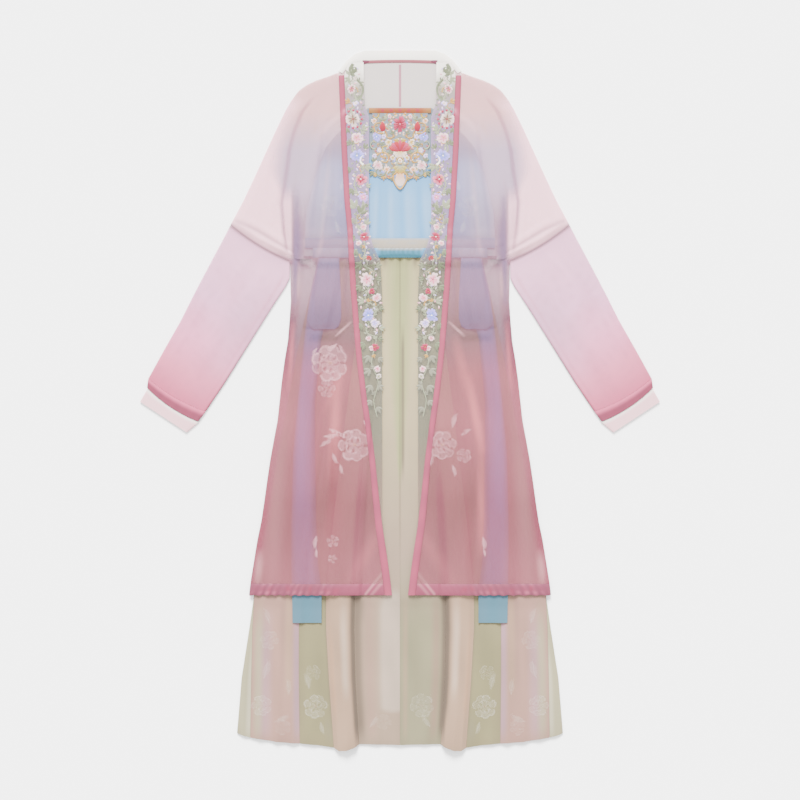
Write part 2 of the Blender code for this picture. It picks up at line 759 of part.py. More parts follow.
def waistband():
    """Cream waistband over the gathers."""
    grid = []
    for y in (WAISTBAND_TOP, (WAISTBAND_TOP + WAIST_TIE_TOP) / 2, WAIST_TIE_TOP + SEAM):
        line = []
        for i in range(-12, 13):
            x = WAISTBAND_HALF * i / 12
            z = bodice_surface(x, y) + SEAM
            crown = 0.6 if WAIST_TIE_TOP + SEAM < y < WAISTBAND_TOP else 0.0
            line.append((x, y, z, z + WAISTBAND_WALL + crown))
        grid.append(line)
    sheet("waistband", grid, "cream")


def waist_tie():
    """Ruched blue tie round the waist, with a wave at every gather of its cloth."""
    tallest = max(row[2] for row in SKIRT_COLUMNS)
    z = dress_base(WAIST_TIE_BOTTOM) + REST + tallest + WALL + SEAM
    grid = []
    for y, swell in ((WAIST_TIE_TOP, 0.3), (273.0, 1.0), (268.0, 1.0), (WAIST_TIE_BOTTOM, 0.4)):
        line = []
        for i in range(TIE_STEPS + 1):
            x = WAIST_TIE_HALF * (2 * i / TIE_STEPS - 1)
            line.append((x, y, z, z + TIE_WALL + TIE_RUCHE * (i % 2) * swell))
        grid.append(line)
    sheet("waist_tie", grid, "tie")


def skirt_surface(x, y):
    """Top of the skirt front, with its folds bridged."""
    folds = max(dress_bridge(x, min(y + dy, WAIST_SEAM - SEAM)) for dy in (-BRIDGE_ALONG, BRIDGE_ALONG))
    return dress_base(y) + 2 * REST + WALL + folds


def tie_strip(name, side, table, rest, wall, crowns, step):
    """Strip of the tie between its inner and outer edges, with a crown across it."""
    grid = []
    levels = front_levels(table[0][0], table[-1][0], step)
    for k, y in enumerate(levels):
        inner, outer = at_level(table, y, 1), at_level(table, y, 2)
        line = []
        for share, crown in crowns:
            x = (inner + share * (outer - inner)) * side
            z = rest(x, y) + TIE_GAP
            rise = crown if 0 < k < len(levels) - 1 else 0.0
            line.append((x, y, z, z + wall + rise))
        grid.append(line if side > 0 else line[::-1])
    sheet(name, grid, "tie")


def tie_tail(side, label):
    """Long flat end of the tie, down over the skirt to below the coat's hem."""
    crowns = ((0.0, 0.0), (0.3, 0.3), (0.65, 0.0), (1.0, 0.0))
    tie_strip("tie_tail_" + label, side, TIE_TAIL, skirt_surface, TIE_WALL, crowns, 30)


def tie_loop(side, label):
    """Loop of the bow, its two layers as one rounded solid that lies over the top of the tail."""

    def rest(x, y):
        distance = abs(x)
        inner, outer = at_level(TIE_TAIL, y, 1), at_level(TIE_TAIL, y, 2)
        on_tail = bump(max(inner - distance, distance - outer, 0.0), 14)
        return skirt_surface(x, y) + on_tail * (TIE_WALL + 1.1)

    crowns = ((0.0, 0.0), (0.2, 0.9), (0.4, 0.4), (0.6, 1.2), (0.8, 0.6), (1.0, 0.0))
    tie_strip("tie_loop_" + label, side, TIE_LOOP, rest, TIE_WALL * 1.3, crowns, 22)


# The skirt ---------------------------------------------------------------------------------------


def skirt_rows(panel_name):
    if panel_name == "side":
        return [y for y in SKIRT_ROWS if y < SIDE_PANEL_TOP]
    return SKIRT_ROWS


def skirt_columns(panel_name):
    """Columns of one panel, closed by the first column of the next."""
    own = [i for i, row in enumerate(SKIRT_COLUMNS) if row[0] == panel_name]
    if panel_name != "side":
        own.append(own[-1] + 1)
    return own


def skirt_panel(panel_name, side, label, colour):
    """One front panel of the skirt, gathered at the waist and falling in folds to the hem."""
    columns = skirt_columns(panel_name)
    grid = []
    last_column = len(SKIRT_COLUMNS) - 1
    levels = [min(y, WAIST_SEAM - SEAM) for y in skirt_rows(panel_name)] + [None]
    for level in levels:
        line = []
        for place, i in enumerate(columns):
            row = SKIRT_COLUMNS[i]
            y = level if level is not None else hem_level(column_x(row[0], row[1], SKIRT_SEAMS[-1][0]))
            x = column_x(row[0], row[1], y)
            first_inset = SEAM / 2 if place == 0 else 0.0
            last_inset = SEAM / 2 if place == len(columns) - 1 and panel_name != "side" else 0.0
            rest = 0.0 if i == last_column else REST
            z = dress_base(y) + rest + column_height(row, y)
            near, far = SKIRT_COLUMNS[max(i - 1, 0)], SKIRT_COLUMNS[min(i + 1, last_column)]
            rise = column_height(far, y) - column_height(near, y)
            run = max(column_x(far[0], far[1], y) - column_x(near[0], near[1], y), 4.0)
            wall = WALL * min(1.5, math.hypot(1, rise / run))
            line.append(((x + first_inset - last_inset) * side, y, z, z + wall))
        grid.append(line if side > 0 else line[::-1])
    sheet("skirt_" + panel_name + "_" + label, grid, colour)


def skirt_back():
    """Plain back of the skirt: over the coat's back, then on the floor below the coat's hem."""
    grid = []
    shares = (-1, -0.61, -0.34, 0, 0.34, 0.61, 1)
    for level in [y for y in SKIRT_ROWS if y not in SKIRT_BACK_SKIPS] + [None]:
        line = []
        for share in shares:
            y = level if level is not None else hem_level(share * SKIRT_HEM[-1][0]) + 1.0
            x = share * at_level(SKIRT_SEAMS, y, 5)
            line.append((x, y, bed(y), bed(y) + WALL))
        grid.append(line)
    sheet("skirt_back", grid, "green")


def main():
    for old in list(bpy.data.objects):
        bpy.data.objects.remove(old, do_unlink=True)
    hem_binding_back()
    collar_back()
    bodice_back()
    bodice_front()
    bodice_top_band()
    bodice_yoke()
    waistband()
    waist_tie()
    skirt_back()
    panel_colours = dict(centre="centre", cream="cream", green="green", blush="blush", side="green")
    for side, label in ((-1, "left"), (1, "right")):
        for panel_name in PANELS:
            skirt_panel(panel_name, side, label, panel_colours[panel_name])
        tie_tail(side, label)
        tie_loop(side, label)
        coat_back(side, label)
        coat_front(side, label)
        front_band(side, label)
        front_binding(side, label)
        hem_binding_front(side, label)
        sleeve(side, label)
        cuff(side, label)


main()
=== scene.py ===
"""Looks for the hanfu set laid flat: fine shells of cloth on the frame's solids, their creases and gathers,
the embroidery and woven flowers, materials, light and camera.

Tables are in millimetres, with X across, Y up the length and Z up from the floor. A level is a place along Y.
The right half is described and side = -1 mirrors it to the left.
"""

import math

import bmesh
import bpy
import numpy as np
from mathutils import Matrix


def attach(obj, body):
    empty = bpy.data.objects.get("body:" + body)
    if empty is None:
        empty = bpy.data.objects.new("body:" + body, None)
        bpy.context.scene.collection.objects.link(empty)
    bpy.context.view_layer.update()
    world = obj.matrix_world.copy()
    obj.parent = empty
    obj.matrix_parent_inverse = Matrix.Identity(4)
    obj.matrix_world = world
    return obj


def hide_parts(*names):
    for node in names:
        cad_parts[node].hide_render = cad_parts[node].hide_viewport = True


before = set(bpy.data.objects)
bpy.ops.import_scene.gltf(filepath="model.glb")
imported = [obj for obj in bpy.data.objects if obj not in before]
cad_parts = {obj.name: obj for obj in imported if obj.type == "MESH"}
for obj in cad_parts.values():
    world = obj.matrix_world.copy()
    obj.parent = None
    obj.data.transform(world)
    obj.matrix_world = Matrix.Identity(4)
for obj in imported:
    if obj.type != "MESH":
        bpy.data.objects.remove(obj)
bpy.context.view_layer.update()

MM = 0.001
TAU = 2 * math.pi

# Frame sizes that the shells follow
WALL, SEAM, LAYER_GAP, LOFT, BRIDGE, GATHER, GATHER_TOP = 1.2, 0.3, 0.5, 1.1, 14.0, 2.0, 412.0
NECK_SEAM, BODICE_TOP, BODICE_TOP_BAND = 621.0, 537.0, 527.5
WAISTBAND_TOP, WAIST_TIE_TOP, WAIST_SEAM, WAIST_TIE_BOTTOM = 298.0, 279.5, 265.0, 262.0
COAT_HEM, BAND_POINT, HEM_BINDING, STEP_END = -357.0, -236.0, 21.0, -384.0
BINDING_HALF, TIE_WALL, TIE_GAP = 5.2, 1.4, 0.5
SLEEVE_HEIGHT, CUFF_BINDING_HEIGHT, CUFF_HEIGHT = 4.0, 4.6, 3.4
TOP_BAND_HALF, YOKE_HALF, YOKE_TOP, WAISTBAND_HALF, WAIST_TIE_HALF = 57.0, 51.0, 527.2, 174.0, 160.0
COAT_TOP, FRONT_TOP = 601.0, 597.0

# Shells: their thickness and how far they stand off the frame's undersides
CLOTH = 0.6
INSET = 0.25
TUBE_INSET = 0.3
COAT_RAISE = 0.5
FRONT_LIFT = 0.4

# Half outlines, each a path of (distance from the centre, level)
COLLAR_OUTER = [(0, 643), (40, 643), (64, 643), (82, 637), (95, 627), (104, 617), (113, 605.5)]
COLLAR_INNER = [(0, 621), (40, 621), (67, 621), (76, 621), (86, 619.5), (97, 611), (106, 601)]
# Edges given as (level, distance from the centre)
FRONT_EDGE = [
    (597, 107.5), (533, 105), (445, 101.5), (368, 97), (312, 91.5), (211, 86), (143, 80.5), (74, 74.5),
    (4, 66), (-46, 58.5), (-110, 51), (-173, 45.5), (-230, 40), (-283, 32.5), (-327, 26.5), (-357, 23),
]
BAND_INNER = [(621, 67), (545, 66), (520, 57), (312, 57), (285, 50), (255, 36), (200, 33), (-236, 33)]
# The coat's outer edge: shoulder and arm seam as (distance, level), side as (level, distance)
SHOULDER = [
    (114.5, 602), (131, 595.5), (153.5, 588), (171, 580), (186, 569), (199.5, 551), (210, 533), (228, 496),
    (253, 441), (270, 404), (287, 368), (311.5, 322),
]
ARM_SEAM = [
    (311.5, 322), (296.4, 309.8), (280.8, 298.5), (265.9, 288.5), (250.5, 279.3), (234.8, 270.7),
    (218.6, 262.8), (202, 255.5), (201.3, 211),
]
COAT_SIDE = [
    (211, 201.3), (184, 200.5), (147, 203), (110, 206), (74, 212), (37, 217), (0, 221), (-37, 225),
    (-74, 232), (-110, 238.5), (-147, 244), (-184, 249), (-221, 254.5), (-257, 262), (-294, 268),
    (-331, 274), (-357, 277),
]
OUTER_EDGE = SHOULDER + ARM_SEAM[1:] + [(x, y) for y, x in COAT_SIDE[1:]]
SLEEVE_RINGS = [
    # outer x, outer y, lower x, lower y
    (311.8, 321.6, 202.4, 255.0),
    (318.0, 309.5, 202.4, 242.0),
    (325.0, 296.0, 202.6, 224.0),
    (338.0, 272.0, 210.0, 209.0),
    (356.0, 238.0, 233.0, 174.0),
    (378.0, 196.0, 260.0, 131.0),
    (402.5, 147.0, 289.0, 84.5),
    (433.8, 92.0, 320.0, 34.5),
    (462.3, 40.4, 356.6, -20.2),
]
CUFF_BINDING_RINGS = [(462.5, 40.1, 356.8, -20.5), (464.8, 23.8, 370.0, -38.6)]
CUFF_RINGS = [(463.5, 22.3, 369.2, -39.9), (477.5, -2.2, 391.5, -58.8)]
# Level, distance from the centre
BODICE_SIDE = [(537, 59), (505, 97), (487, 118), (463, 137), (415, 155), (345, 172), (265, 177)]
# Distance from the centre, level
YOKE_EDGE = [
    (51, 527.2), (51, 470), (51, 440), (48, 421), (42, 411), (34, 407), (24, 409), (15, 411), (10, 402),
    (5, 393), (0, 389),
]
SKIRT_SEAMS = [
    # level, fold, cream, green, blush, side
    (265, 40, 64, 92, 149, 149),
    (184, 46, 72, 103, 168, 168),
    (92, 53, 84, 120, 188, 188),
    (0, 60, 96, 136, 206, 206),
    (-110, 68, 110, 154, 226, 226),
    (-220, 75, 123, 170, 246, 246),
    (-357, 83, 136, 184, 267.5, 268),
    (-420, 84, 136, 185.5, 271, 277),
    (-510, 82, 131, 185.5, 273, 291),
    (-632, 75, 122, 184, 275, 301),
]
HEM_LEVEL = float(SKIRT_SEAMS[-1][0])
SKIRT_HALF = SKIRT_SEAMS[-1][-1]
PANELS = ["centre", "cream", "green", "blush", "side"]
SKIRT_COLUMNS = [
    # panel, share, height at the waist, at the coat's hem and at the hem
    ("centre", 0.00, 0.0, 1.6, 2.6),
    ("centre", 0.20, 2.6, 2.2, 1.2),
    ("centre", 0.40, 0.4, 0.4, 0.8),
    ("centre", 0.60, 2.4, 0.2, 2.0),
    ("centre", 0.82, 0.0, 1.0, 0.6),
    ("cream", 0.00, 2.4, 0.4, 0.4),
    ("cream", 0.16, 0.4, 4.2, 8.0),
    ("cream", 0.50, 2.4, 4.8, 9.6),
    ("cream", 0.80, 0.0, 2.8, 6.0),
    ("green", 0.00, 2.2, 0.4, 1.0),
    ("green", 0.35, 0.2, 1.4, 0.8),
    ("green", 0.68, 2.4, 0.4, 2.2),
    ("blush", 0.00, 0.0, 0.6, 0.8),
    ("blush", 0.14, 2.4, 2.2, 4.2),
    ("blush", 0.30, 0.4, 0.4, 1.4),
    ("blush", 0.46, 2.2, 1.8, 3.4),
    ("blush", 0.62, 0.0, 0.4, 0.8),
    ("blush", 0.80, 1.8, 1.4, 3.0),
    ("side", 0.00, 0.0, 0.3, 0.8),
    ("side", 0.55, 0.0, 0.3, 2.2),
    ("side", 1.00, 0.0, 0.0, 0.0),
]
# Distance from the centre, level
SKIRT_HEM = [
    (0, -632.5), (74, -631), (83, -636.5), (98, -642), (112, -643), (122, -637.5), (150, -633), (184, -630),
    (225, -627), (275, -619), (290, -615), (301, -611),
]
# How far each ring of the sleeve curves towards the hand
SLEEVE_SAGS = (5.0, 4.5, 3.5, 2.0, 1.0, 0.0, 0.0, 3.0, 6.0)
# The tie's tails and loops: level, inner edge, outer edge
TIE_TAIL = [
    (261, 112, 150), (200, 124, 164), (110, 145, 176), (0, 156, 187), (-100, 155.5, 196), (-220, 154, 199),
    (-300, 150.5, 199), (-345, 144, 198), (-408, 144, 197),
]
TIE_LOOP = [
    (261, 112, 147), (225, 110, 155), (185, 108, 164), (150, 108, 171), (136, 113, 167), (131, 121, 158),
]
COAT_FOLDS = [
    # from x, from y, to x, to y, width, height
    (190, 530, 202, 280, 26, 2.6),
    (222, 478, 236, 330, 24, 1.8),
    (120, 560, 160, 420, 34, 1.6),
    (84, 112, 148, -220, 34, 2.2),
    (176, 170, 214, -60, 30, 1.8),
    (120, 60, 176, -300, 30, 1.4),
    (301, 322, 255, 294, 19, 2.8),
    (258, 296, 204, 267, 19, 2.8),
]

# Fine creases of the coat, each soft and tapered
COAT_CREASES = [
    # side, from x, from y, to x, to y, width, height
    (0, 196, 540, 204, 300, 11, 0.9),
    (0, 184, 470, 192, 270, 9, 0.6),
    (0, 228, 500, 262, 330, 16, 0.7),
    (0, 240, 470, 250, 350, 10, 0.5),
    (0, 150, 570, 190, 470, 20, 0.8),
    (0, 130, 540, 150, 440, 14, 0.5),
    (0, 196, 240, 206, 40, 12, 0.8),
    (0, 180, 236, 198, 120, 10, 0.6),
    (0, 206, 120, 238, -140, 12, 0.7),
    (0, 92, 140, 122, 112, 7, 1.3),
    (1, 84, 110, 150, -220, 14, 1.5),
    (1, 108, 60, 136, -120, 12, 0.7),
    (-1, 130, -30, 146, -190, 10, 1.2),
    (-1, 144, -20, 158, -170, 9, 0.9),
    (-1, 118, -60, 128, -180, 8, 0.7),
    (-1, 96, 40, 116, -60, 12, 0.6),
    (0, 204, -180, 226, -330, 18, 0.9),
    (0, 172, -150, 178, -330, 22, 0.7),
    (0, 110, -200, 104, -330, 18, 0.8),
    (0, 70, -180, 62, -320, 14, 0.6),
]

# Surface colours, linear
COLOURS = {
    "collar": (0.785, 0.733, 0.666),
    "inside": (0.482, 0.424, 0.400),
    "neck_line": (0.220, 0.060, 0.075),
    "seam_line": (0.297, 0.129, 0.160),
    "shoulder": (0.631, 0.311, 0.314),
    "veil": (0.360, 0.222, 0.340),
    "arm": (0.910, 0.535, 0.608),
    "dusk": (0.170, 0.100, 0.190),
    # a light rose, used as painted highlight along the coat's folds
    "fold_highlight_rose": (0.520, 0.120, 0.150),
    "coat_mid": (0.265, 0.108, 0.162),
    "coat_rose": (0.267, 0.059, 0.091),
    "coat_low": (0.173, 0.034, 0.054),
    "coat_hem": (0.227, 0.053, 0.077),
    # a deep rose, used as painted shade in the coat's folds, gathers and along its folded edges
    "deep_rose_shade": (0.169, 0.016, 0.041),
    "binding": (0.232, 0.033, 0.069),
    "hem": (0.115, 0.022, 0.043),
    "band": (0.118, 0.116, 0.091),
    "gauze": (0.278, 0.192, 0.312),
    "band_low": (0.157, 0.099, 0.089),
    "gold": (0.207, 0.085, 0.018),
    "amber": (0.190, 0.038, 0.006),
    "blue": (0.080, 0.217, 0.393),
    "waist": (0.273, 0.232, 0.186),
    "tie": (0.019, 0.102, 0.141),
    "teal_shade": (0.004, 0.060, 0.085),
    "ribbon": (0.042, 0.097, 0.130),
    "skirt_top": (0.305, 0.251, 0.133),
    "skirt_green": (0.196, 0.204, 0.081),
    # a dark green, used as painted shade in the skirt's centre pleat, and to darken the green panel's lower
    # part a little
    "green_fold": (0.120, 0.130, 0.055),
    "centre": (0.200, 0.143, 0.100),
    "rosy": (0.175, 0.115, 0.078),
    "pale_green": (0.148, 0.136, 0.078),
    "green": (0.140, 0.124, 0.061),
    "cream": (0.226, 0.147, 0.095),
    "blush": (0.222, 0.126, 0.099),
    "edge": (0.222, 0.205, 0.125),
    # a dark brown, used as painted shade in the skirt's pleats and folds, towards its hem and under the tie
    "fold": (0.077, 0.054, 0.037),
    "sleeve": (0.742, 0.386, 0.548),
    "sleeve_mid": (0.700, 0.345, 0.520),
    "sleeve_blush": (0.700, 0.245, 0.400),
    "sleeve_pink": (0.615, 0.166, 0.267),
    "sleeve_rose": (0.481, 0.094, 0.174),
    "cuff_binding": (0.170, 0.022, 0.050),
    "cuff": (0.703, 0.402, 0.432),
    "woven": (0.700, 0.360, 0.400),
    "white": (0.854, 0.796, 0.722),
    "pink": (0.560, 0.150, 0.230),
    "rose": (0.330, 0.030, 0.080),
    "red": (0.300, 0.012, 0.020),
    "crimson": (0.210, 0.008, 0.025),
    "lavender": (0.300, 0.230, 0.620),
    "sky": (0.130, 0.160, 0.480),
    "leaf": (0.112, 0.125, 0.070),
    "sage": (0.210, 0.220, 0.140),
    "gold_thread": (0.330, 0.180, 0.040),
    "peach": (0.456, 0.191, 0.064),
    "straw": (0.372, 0.250, 0.026),
    "petal": (0.640, 0.500, 0.480),
    "petal_pink": (0.480, 0.200, 0.240),
    "ground": (0.135, 0.110, 0.075),
    # a dark lilac, used as painted shade in the creases by the arm seams, where the seam allowances also
    # show, and as a faint mottle on the sleeves
    "crease": (0.225, 0.105, 0.140),
    "drab": (0.165, 0.158, 0.115),
    "sleeve_grey": (0.480, 0.270, 0.370),
    "umber": (0.150, 0.085, 0.050),
    "coat_dim": (0.150, 0.055, 0.085),
}


# Curves and heights -------------------------------------------------------------------------------


def column(table, level, k=1):
    """Column k of a table whose first column is the level, at a level between its rows."""
    rows = sorted(table)
    return np.interp(level, [r[0] for r in rows], [r[k] for r in rows])


def along(path, distance):
    """Second value of a path at a distance from the centre."""
    return np.interp(np.abs(distance), [p[0] for p in path], [p[1] for p in path])


def ease(share):
    """Smooth step: 0 below 0, 1 above 1."""
    share = np.clip(share, 0.0, 1.0)
    return share * share * (3 - 2 * share)


def bump(offset, half_width):
    """1 where the offset is 0, easing to 0 at the half width."""
    return ease(1 - np.abs(offset) / half_width)


def segment(x, y, x0, y0, x1, y1):
    """Distance from a line between two points, and the share of the way along it."""
    dx, dy = x1 - x0, y1 - y0
    share = np.clip(((x - x0) * dx + (y - y0) * dy) / (dx * dx + dy * dy), 0.0, 1.0)
    return np.hypot(x - x0 - share * dx, y - y0 - share * dy), share


def path_distance(x, y, path):
    """Distance from the nearest stretch of a path."""
    nearest = np.full(np.shape(x), 1e9)
    for a, b in zip(path, path[1:]):
        nearest = np.minimum(nearest, segment(x, y, *a, *b)[0])
    return nearest


def bed(y):
    """Height of what the dress lies on: the coat's back, and the floor past its hem."""
    return (WALL + LAYER_GAP) * (1 - ease((COAT_HEM - y) / (COAT_HEM - STEP_END)))


def column_x(panel, share, level):
    """Distance from the centre of a share across a skirt panel, at a level."""
    k = PANELS.index(panel)
    inner = 0.0 if k == 0 else column(SKIRT_SEAMS, level, k)
    return inner + share * (column(SKIRT_SEAMS, level, k + 1) - inner)


def column_height(row, level):
    """Height at one row of SKIRT_COLUMNS, from its heights at three levels."""
    waist, middle, hem = row[2:]
    gathered = waist * (1 - ease((WAIST_SEAM - level) / 120))
    return gathered + middle * ease((190 - level) / 300) + (hem - middle) * ease((-290 - level) / 330)


def skirt_fold(x, y):
    """Height of the skirt's folds above the panel's rest level."""
    distance = np.abs(x)
    fold = np.zeros(np.shape(x))
    places = [(column_x(r[0], r[1], y), column_height(r, y)) for r in SKIRT_COLUMNS]
    for (x0, h0), (x1, h1) in zip(places, places[1:]):
        share = (distance - x0) / np.maximum(x1 - x0, 1e-6)
        within = (share >= 0) & (share <= 1) & (x1 - x0 > 1e-3)
        fold = np.where(within, h0 + (0.5 * share + 0.5 * ease(share)) * (h1 - h0), fold)
    return fold


def gather_height(share, y):
    """Height of the bodice's gathers, which end at GATHER_TOP and at the side edge."""
    fall = np.clip((y - WAIST_SEAM) / 39, 0.0, 1.0)
    return GATHER * ease((1 - share) / 0.12) * ease((GATHER_TOP - y) / 60) * (0.4 + 0.6 * fall)


def dress_bridge(x, y):
    """Height at which the coat bridges the dress's folds."""
    gathers = gather_height(np.minimum(1.0, np.abs(x) / column(BODICE_SIDE, y)), y)
    folds = np.max([skirt_fold(x + dx, y) for dx in (-BRIDGE, -BRIDGE / 2, 0, BRIDGE / 2, BRIDGE)], axis=0)
    return np.where(y > WAIST_SEAM, gathers, folds)


def dress_half_width(y):
    """Distance of the dress's side edge from the centre."""
    return np.where(y > WAIST_SEAM, column(BODICE_SIDE, y), column(SKIRT_SEAMS, y, 5))


def dress_base(y):
    """Height at which the dress's front starts, above its back and a seam's gap."""
    return bed(y) + WALL + SEAM


def trim_lift(y):
    """How far the waistband and the tie lift the coat."""
    band = 1.6 * ease((WAISTBAND_TOP + 20 - y) / 14)
    tie = 2.6 * ease((WAIST_TIE_TOP + 18 - y) / 14)
    return (band + tie) * ease((y - WAIST_TIE_BOTTOM + 22) / 16)


def dress_lift(x, y):
    """How far the dress lifts the coat, easing to 0 beside and above it."""
    folds = np.maximum(dress_bridge(x, y - 8), dress_bridge(x, y + 8))
    outside = np.abs(x) - np.max([dress_half_width(y + dy) for dy in (-22, 0, 8)], axis=0)
    beside = 1 - ease((outside - 2) / 16)
    above = 1 - ease((y - BODICE_TOP - 12) / 26)
    return (2 * WALL + LAYER_GAP + 0.8 + folds + trim_lift(y)) * beside * above


def between(x, y, table, reach):
    """1 on a strip that a table describes, easing to 0 at a reach beside it."""
    distance = np.abs(x)
    beside = np.maximum.reduce([column(table, y, 1) - distance, distance - column(table, y, 2), 0 * x])
    return bump(beside, reach)


def tie_lift(x, y):
    """How far the tie's tails and loops lift the coat."""
    above = 1 - ease((y - WAIST_TIE_BOTTOM) / 20)
    loop = between(x, y, TIE_LOOP, 16) * (1 - ease((124 - y) / 18))
    return above * (between(x, y, TIE_TAIL, 14) * (TIE_WALL + 0.9) + loop * (TIE_WALL * 2 + 1.1))


def coat_fold(x, y):
    """Height of the coat's large folds."""
    height = 0.0 * x
    for x0, y0, x1, y1, width, tall in COAT_FOLDS:
        distance, share = segment(np.abs(x), y, x0, y0, x1, y1)
        height += tall * bump(distance, width / 2) * np.sin(math.pi * (0.15 + 0.7 * share))
    return height


def fine_creases(x, y, table):
    """Height of the creases in a table; a side of 0 is for both."""
    height = 0.0 * x
    for side, x0, y0, x1, y1, width, tall in table:
        distance, share = segment(np.abs(x), y, x0, y0, x1, y1)
        on = 1.0 if side == 0 else (np.sign(x) == side)
        height += on * tall * bump(distance, width / 2) * np.sin(math.pi * (0.08 + 0.84 * share))
    return height


# Curved fold of the armhole: level, distance from the centre
ARMHOLE = [
    (566, 140), (557, 159), (530, 180), (496, 194), (459, 204), (423, 208), (390, 213), (362, 217),
    (310, 213), (262, 206),
]
UPPER_CREASE = [(300, 329), (282, 320), (264, 312), (245.5, 301), (227, 289), (208.5, 278), (199.5, 272)]


def armhole(x, y):
    """Distance outside the armhole's fold, and how much of the fold there is at that level."""
    return np.abs(x) - column(ARMHOLE, y), ease((ARMHOLE[0][0] - y) / 30) * ease((y - 256) / 20)


def armhole_folds(x, y):
    """Height of the folds on both sides of the armhole's line."""
    outside, on = armhole(x, y)
    fold = 2.0 * bump(outside - 10, 10) + 1.5 * bump(outside + 10, 8) + 0.8 * bump(outside - 28, 9)
    return on * fold * (0.25 + 0.75 * ease((450 - y) / 70))


def seam_folds(x, y):
    """Soft trough above the fold beside the arm seam, and the roll above that."""
    trough = path_distance(np.abs(x), y, UPPER_CREASE)
    above = path_distance(np.abs(x), y - 11, UPPER_CREASE)
    return 0.7 * bump(above, 8) * ease((300 - np.abs(x)) / 30) - 0.9 * bump(trough, 5)


def over(x, y):
    """Underside of the coat's front with its folds and fine creases."""
    inside = ease(path_distance(np.abs(x), y, OUTER_EDGE) / 16)
    low = WALL + SEAM + LOFT * inside + dress_lift(x, y) + tie_lift(x, y) + coat_fold(x, y) * inside
    fine = COAT_RAISE + fine_creases(x, y, COAT_CREASES) + armhole_folds(x, y) + seam_folds(x, y)
    return low + fine * inside


def bodice_surface(x, y):
    """Top of the bodice's front."""
    share = np.minimum(1.0, np.abs(x) / column(BODICE_SIDE, y))
    return dress_base(y) + 0.5 + gather_height(share, y) + WALL


def skirt_surface(x, y):
    """Top of the skirt's folds, as the tie's ends lie over them."""
    folds = np.maximum(*[dress_bridge(x, np.minimum(y + dy, WAIST_SEAM - SEAM)) for dy in (-8, 8)])
    return dress_base(y) + FRONT_LIFT + WALL + 0.4 + folds


def ripple(x, period, seed):
    """Uneven wave from 0 to 1 whose crests wander in place and height."""
    short, long = np.sin(x / (period * 2.3) + seed), np.sin(x / (period * 3.7) + 2.1 * seed)
    drift = period * (0.32 * short + 0.21 * long)
    wave = 0.5 + 0.5 * np.cos(TAU * (x + drift) / period)
    return wave * (1 - 0.35 * (0.5 + 0.5 * np.sin(x / (period * 1.7) + 3.3 * seed)))


# Colour along the cloth ---------------------------------------------------------------------------


def colour(name, shape):
    """Grid of one colour."""
    return np.broadcast_to(np.array(COLOURS[name]), (*shape, 3)).copy()


def stops(value, table):
    """Colour at a value, from a table of (value, colour name)."""
    rows = sorted(table)
    at = [r[0] for r in rows]
    return np.stack([np.interp(value, at, [COLOURS[r[1]][c] for r in rows]) for c in range(3)], axis=-1)


def mix(a, b, share):
    """Colour a with a share of colour b."""
    share = np.asarray(share)[..., None]
    return a * (1 - share) + b * share


# Meshes -------------------------------------------------------------------------------------------


def add_mesh(name, points, faces, tints, cover, material, uvs=None, closed=True, sharp=50):
    """Object from points in millimetres, with a colour and a cover at each point."""
    mesh = bpy.data.meshes.new(name)
    mesh.from_pydata((np.asarray(points) * MM).tolist(), [], faces)
    if closed:
        solid = bmesh.new()
        solid.from_mesh(mesh)
        bmesh.ops.recalc_face_normals(solid, faces=solid.faces)
        solid.to_mesh(mesh)
        solid.free()
    tint = mesh.color_attributes.new("tint", "FLOAT_COLOR", "POINT")
    opaque = np.concatenate([tints, np.ones((len(tints), 1))], 1)
    tint.data.foreach_set("color", opaque.astype(np.float32).ravel())
    share = mesh.attributes.new("cover", "FLOAT", "POINT")
    share.data.foreach_set("value", np.asarray(cover, np.float32))
    if uvs is not None:
        layer = mesh.uv_layers.new(name="thread")
        corner = np.zeros(len(mesh.loops), np.int32)
        mesh.loops.foreach_get("vertex_index", corner)
        layer.data.foreach_set("uv", np.asarray(uvs, np.float32)[corner].ravel())
    mesh.shade_smooth()
    mesh.set_sharp_from_angle(angle=math.radians(sharp))
    mesh.materials.append(material)
    made = bpy.data.objects.new(name, mesh)
    bpy.context.scene.collection.objects.link(made)
    return made


def shell(name, x, y, low, wall, tint, cover, material):
    """Closed sheet of cloth from a grid of points, their undersides and a thickness."""
    x, y, low, wall, cover = np.broadcast_arrays(x, y, low, wall, cover)
    n = x.size
    ids = np.arange(n).reshape(x.shape)
    a, b, d, c = ids[:-1, :-1].ravel(), ids[:-1, 1:].ravel(), ids[1:, 1:].ravel(), ids[1:, :-1].ravel()
    top = np.stack([a, b, d, c], 1) + n
    under = np.stack([a, c, d, b], 1)
    rim = np.concatenate([ids[0, :], ids[1:, -1], ids[-1, -2::-1], ids[-2:0:-1, 0]])
    ahead = np.roll(rim, -1)
    wall_faces = np.stack([ahead + n, rim + n, rim, ahead], 1)
    faces = np.concatenate([top, under, wall_faces]).tolist()
    flat = np.stack([x.ravel(), y.ravel()], 1)
    points = np.concatenate([np.c_[flat, low.ravel()], np.c_[flat, (low + wall).ravel()]])
    tints = np.concatenate([tint.reshape(-1, 3)] * 2)
    return add_mesh(name, points, faces, tints, np.tile(cover.ravel(), 2), material)


# Rounded edge of a flat tube: distance in from the edge, share of the tube's height
TUBE_EDGE = [(0.0, 0.5), (0.3, 0.26), (0.9, 0.1), (2.4, 0.0)]
TUBE_WALL = 0.5


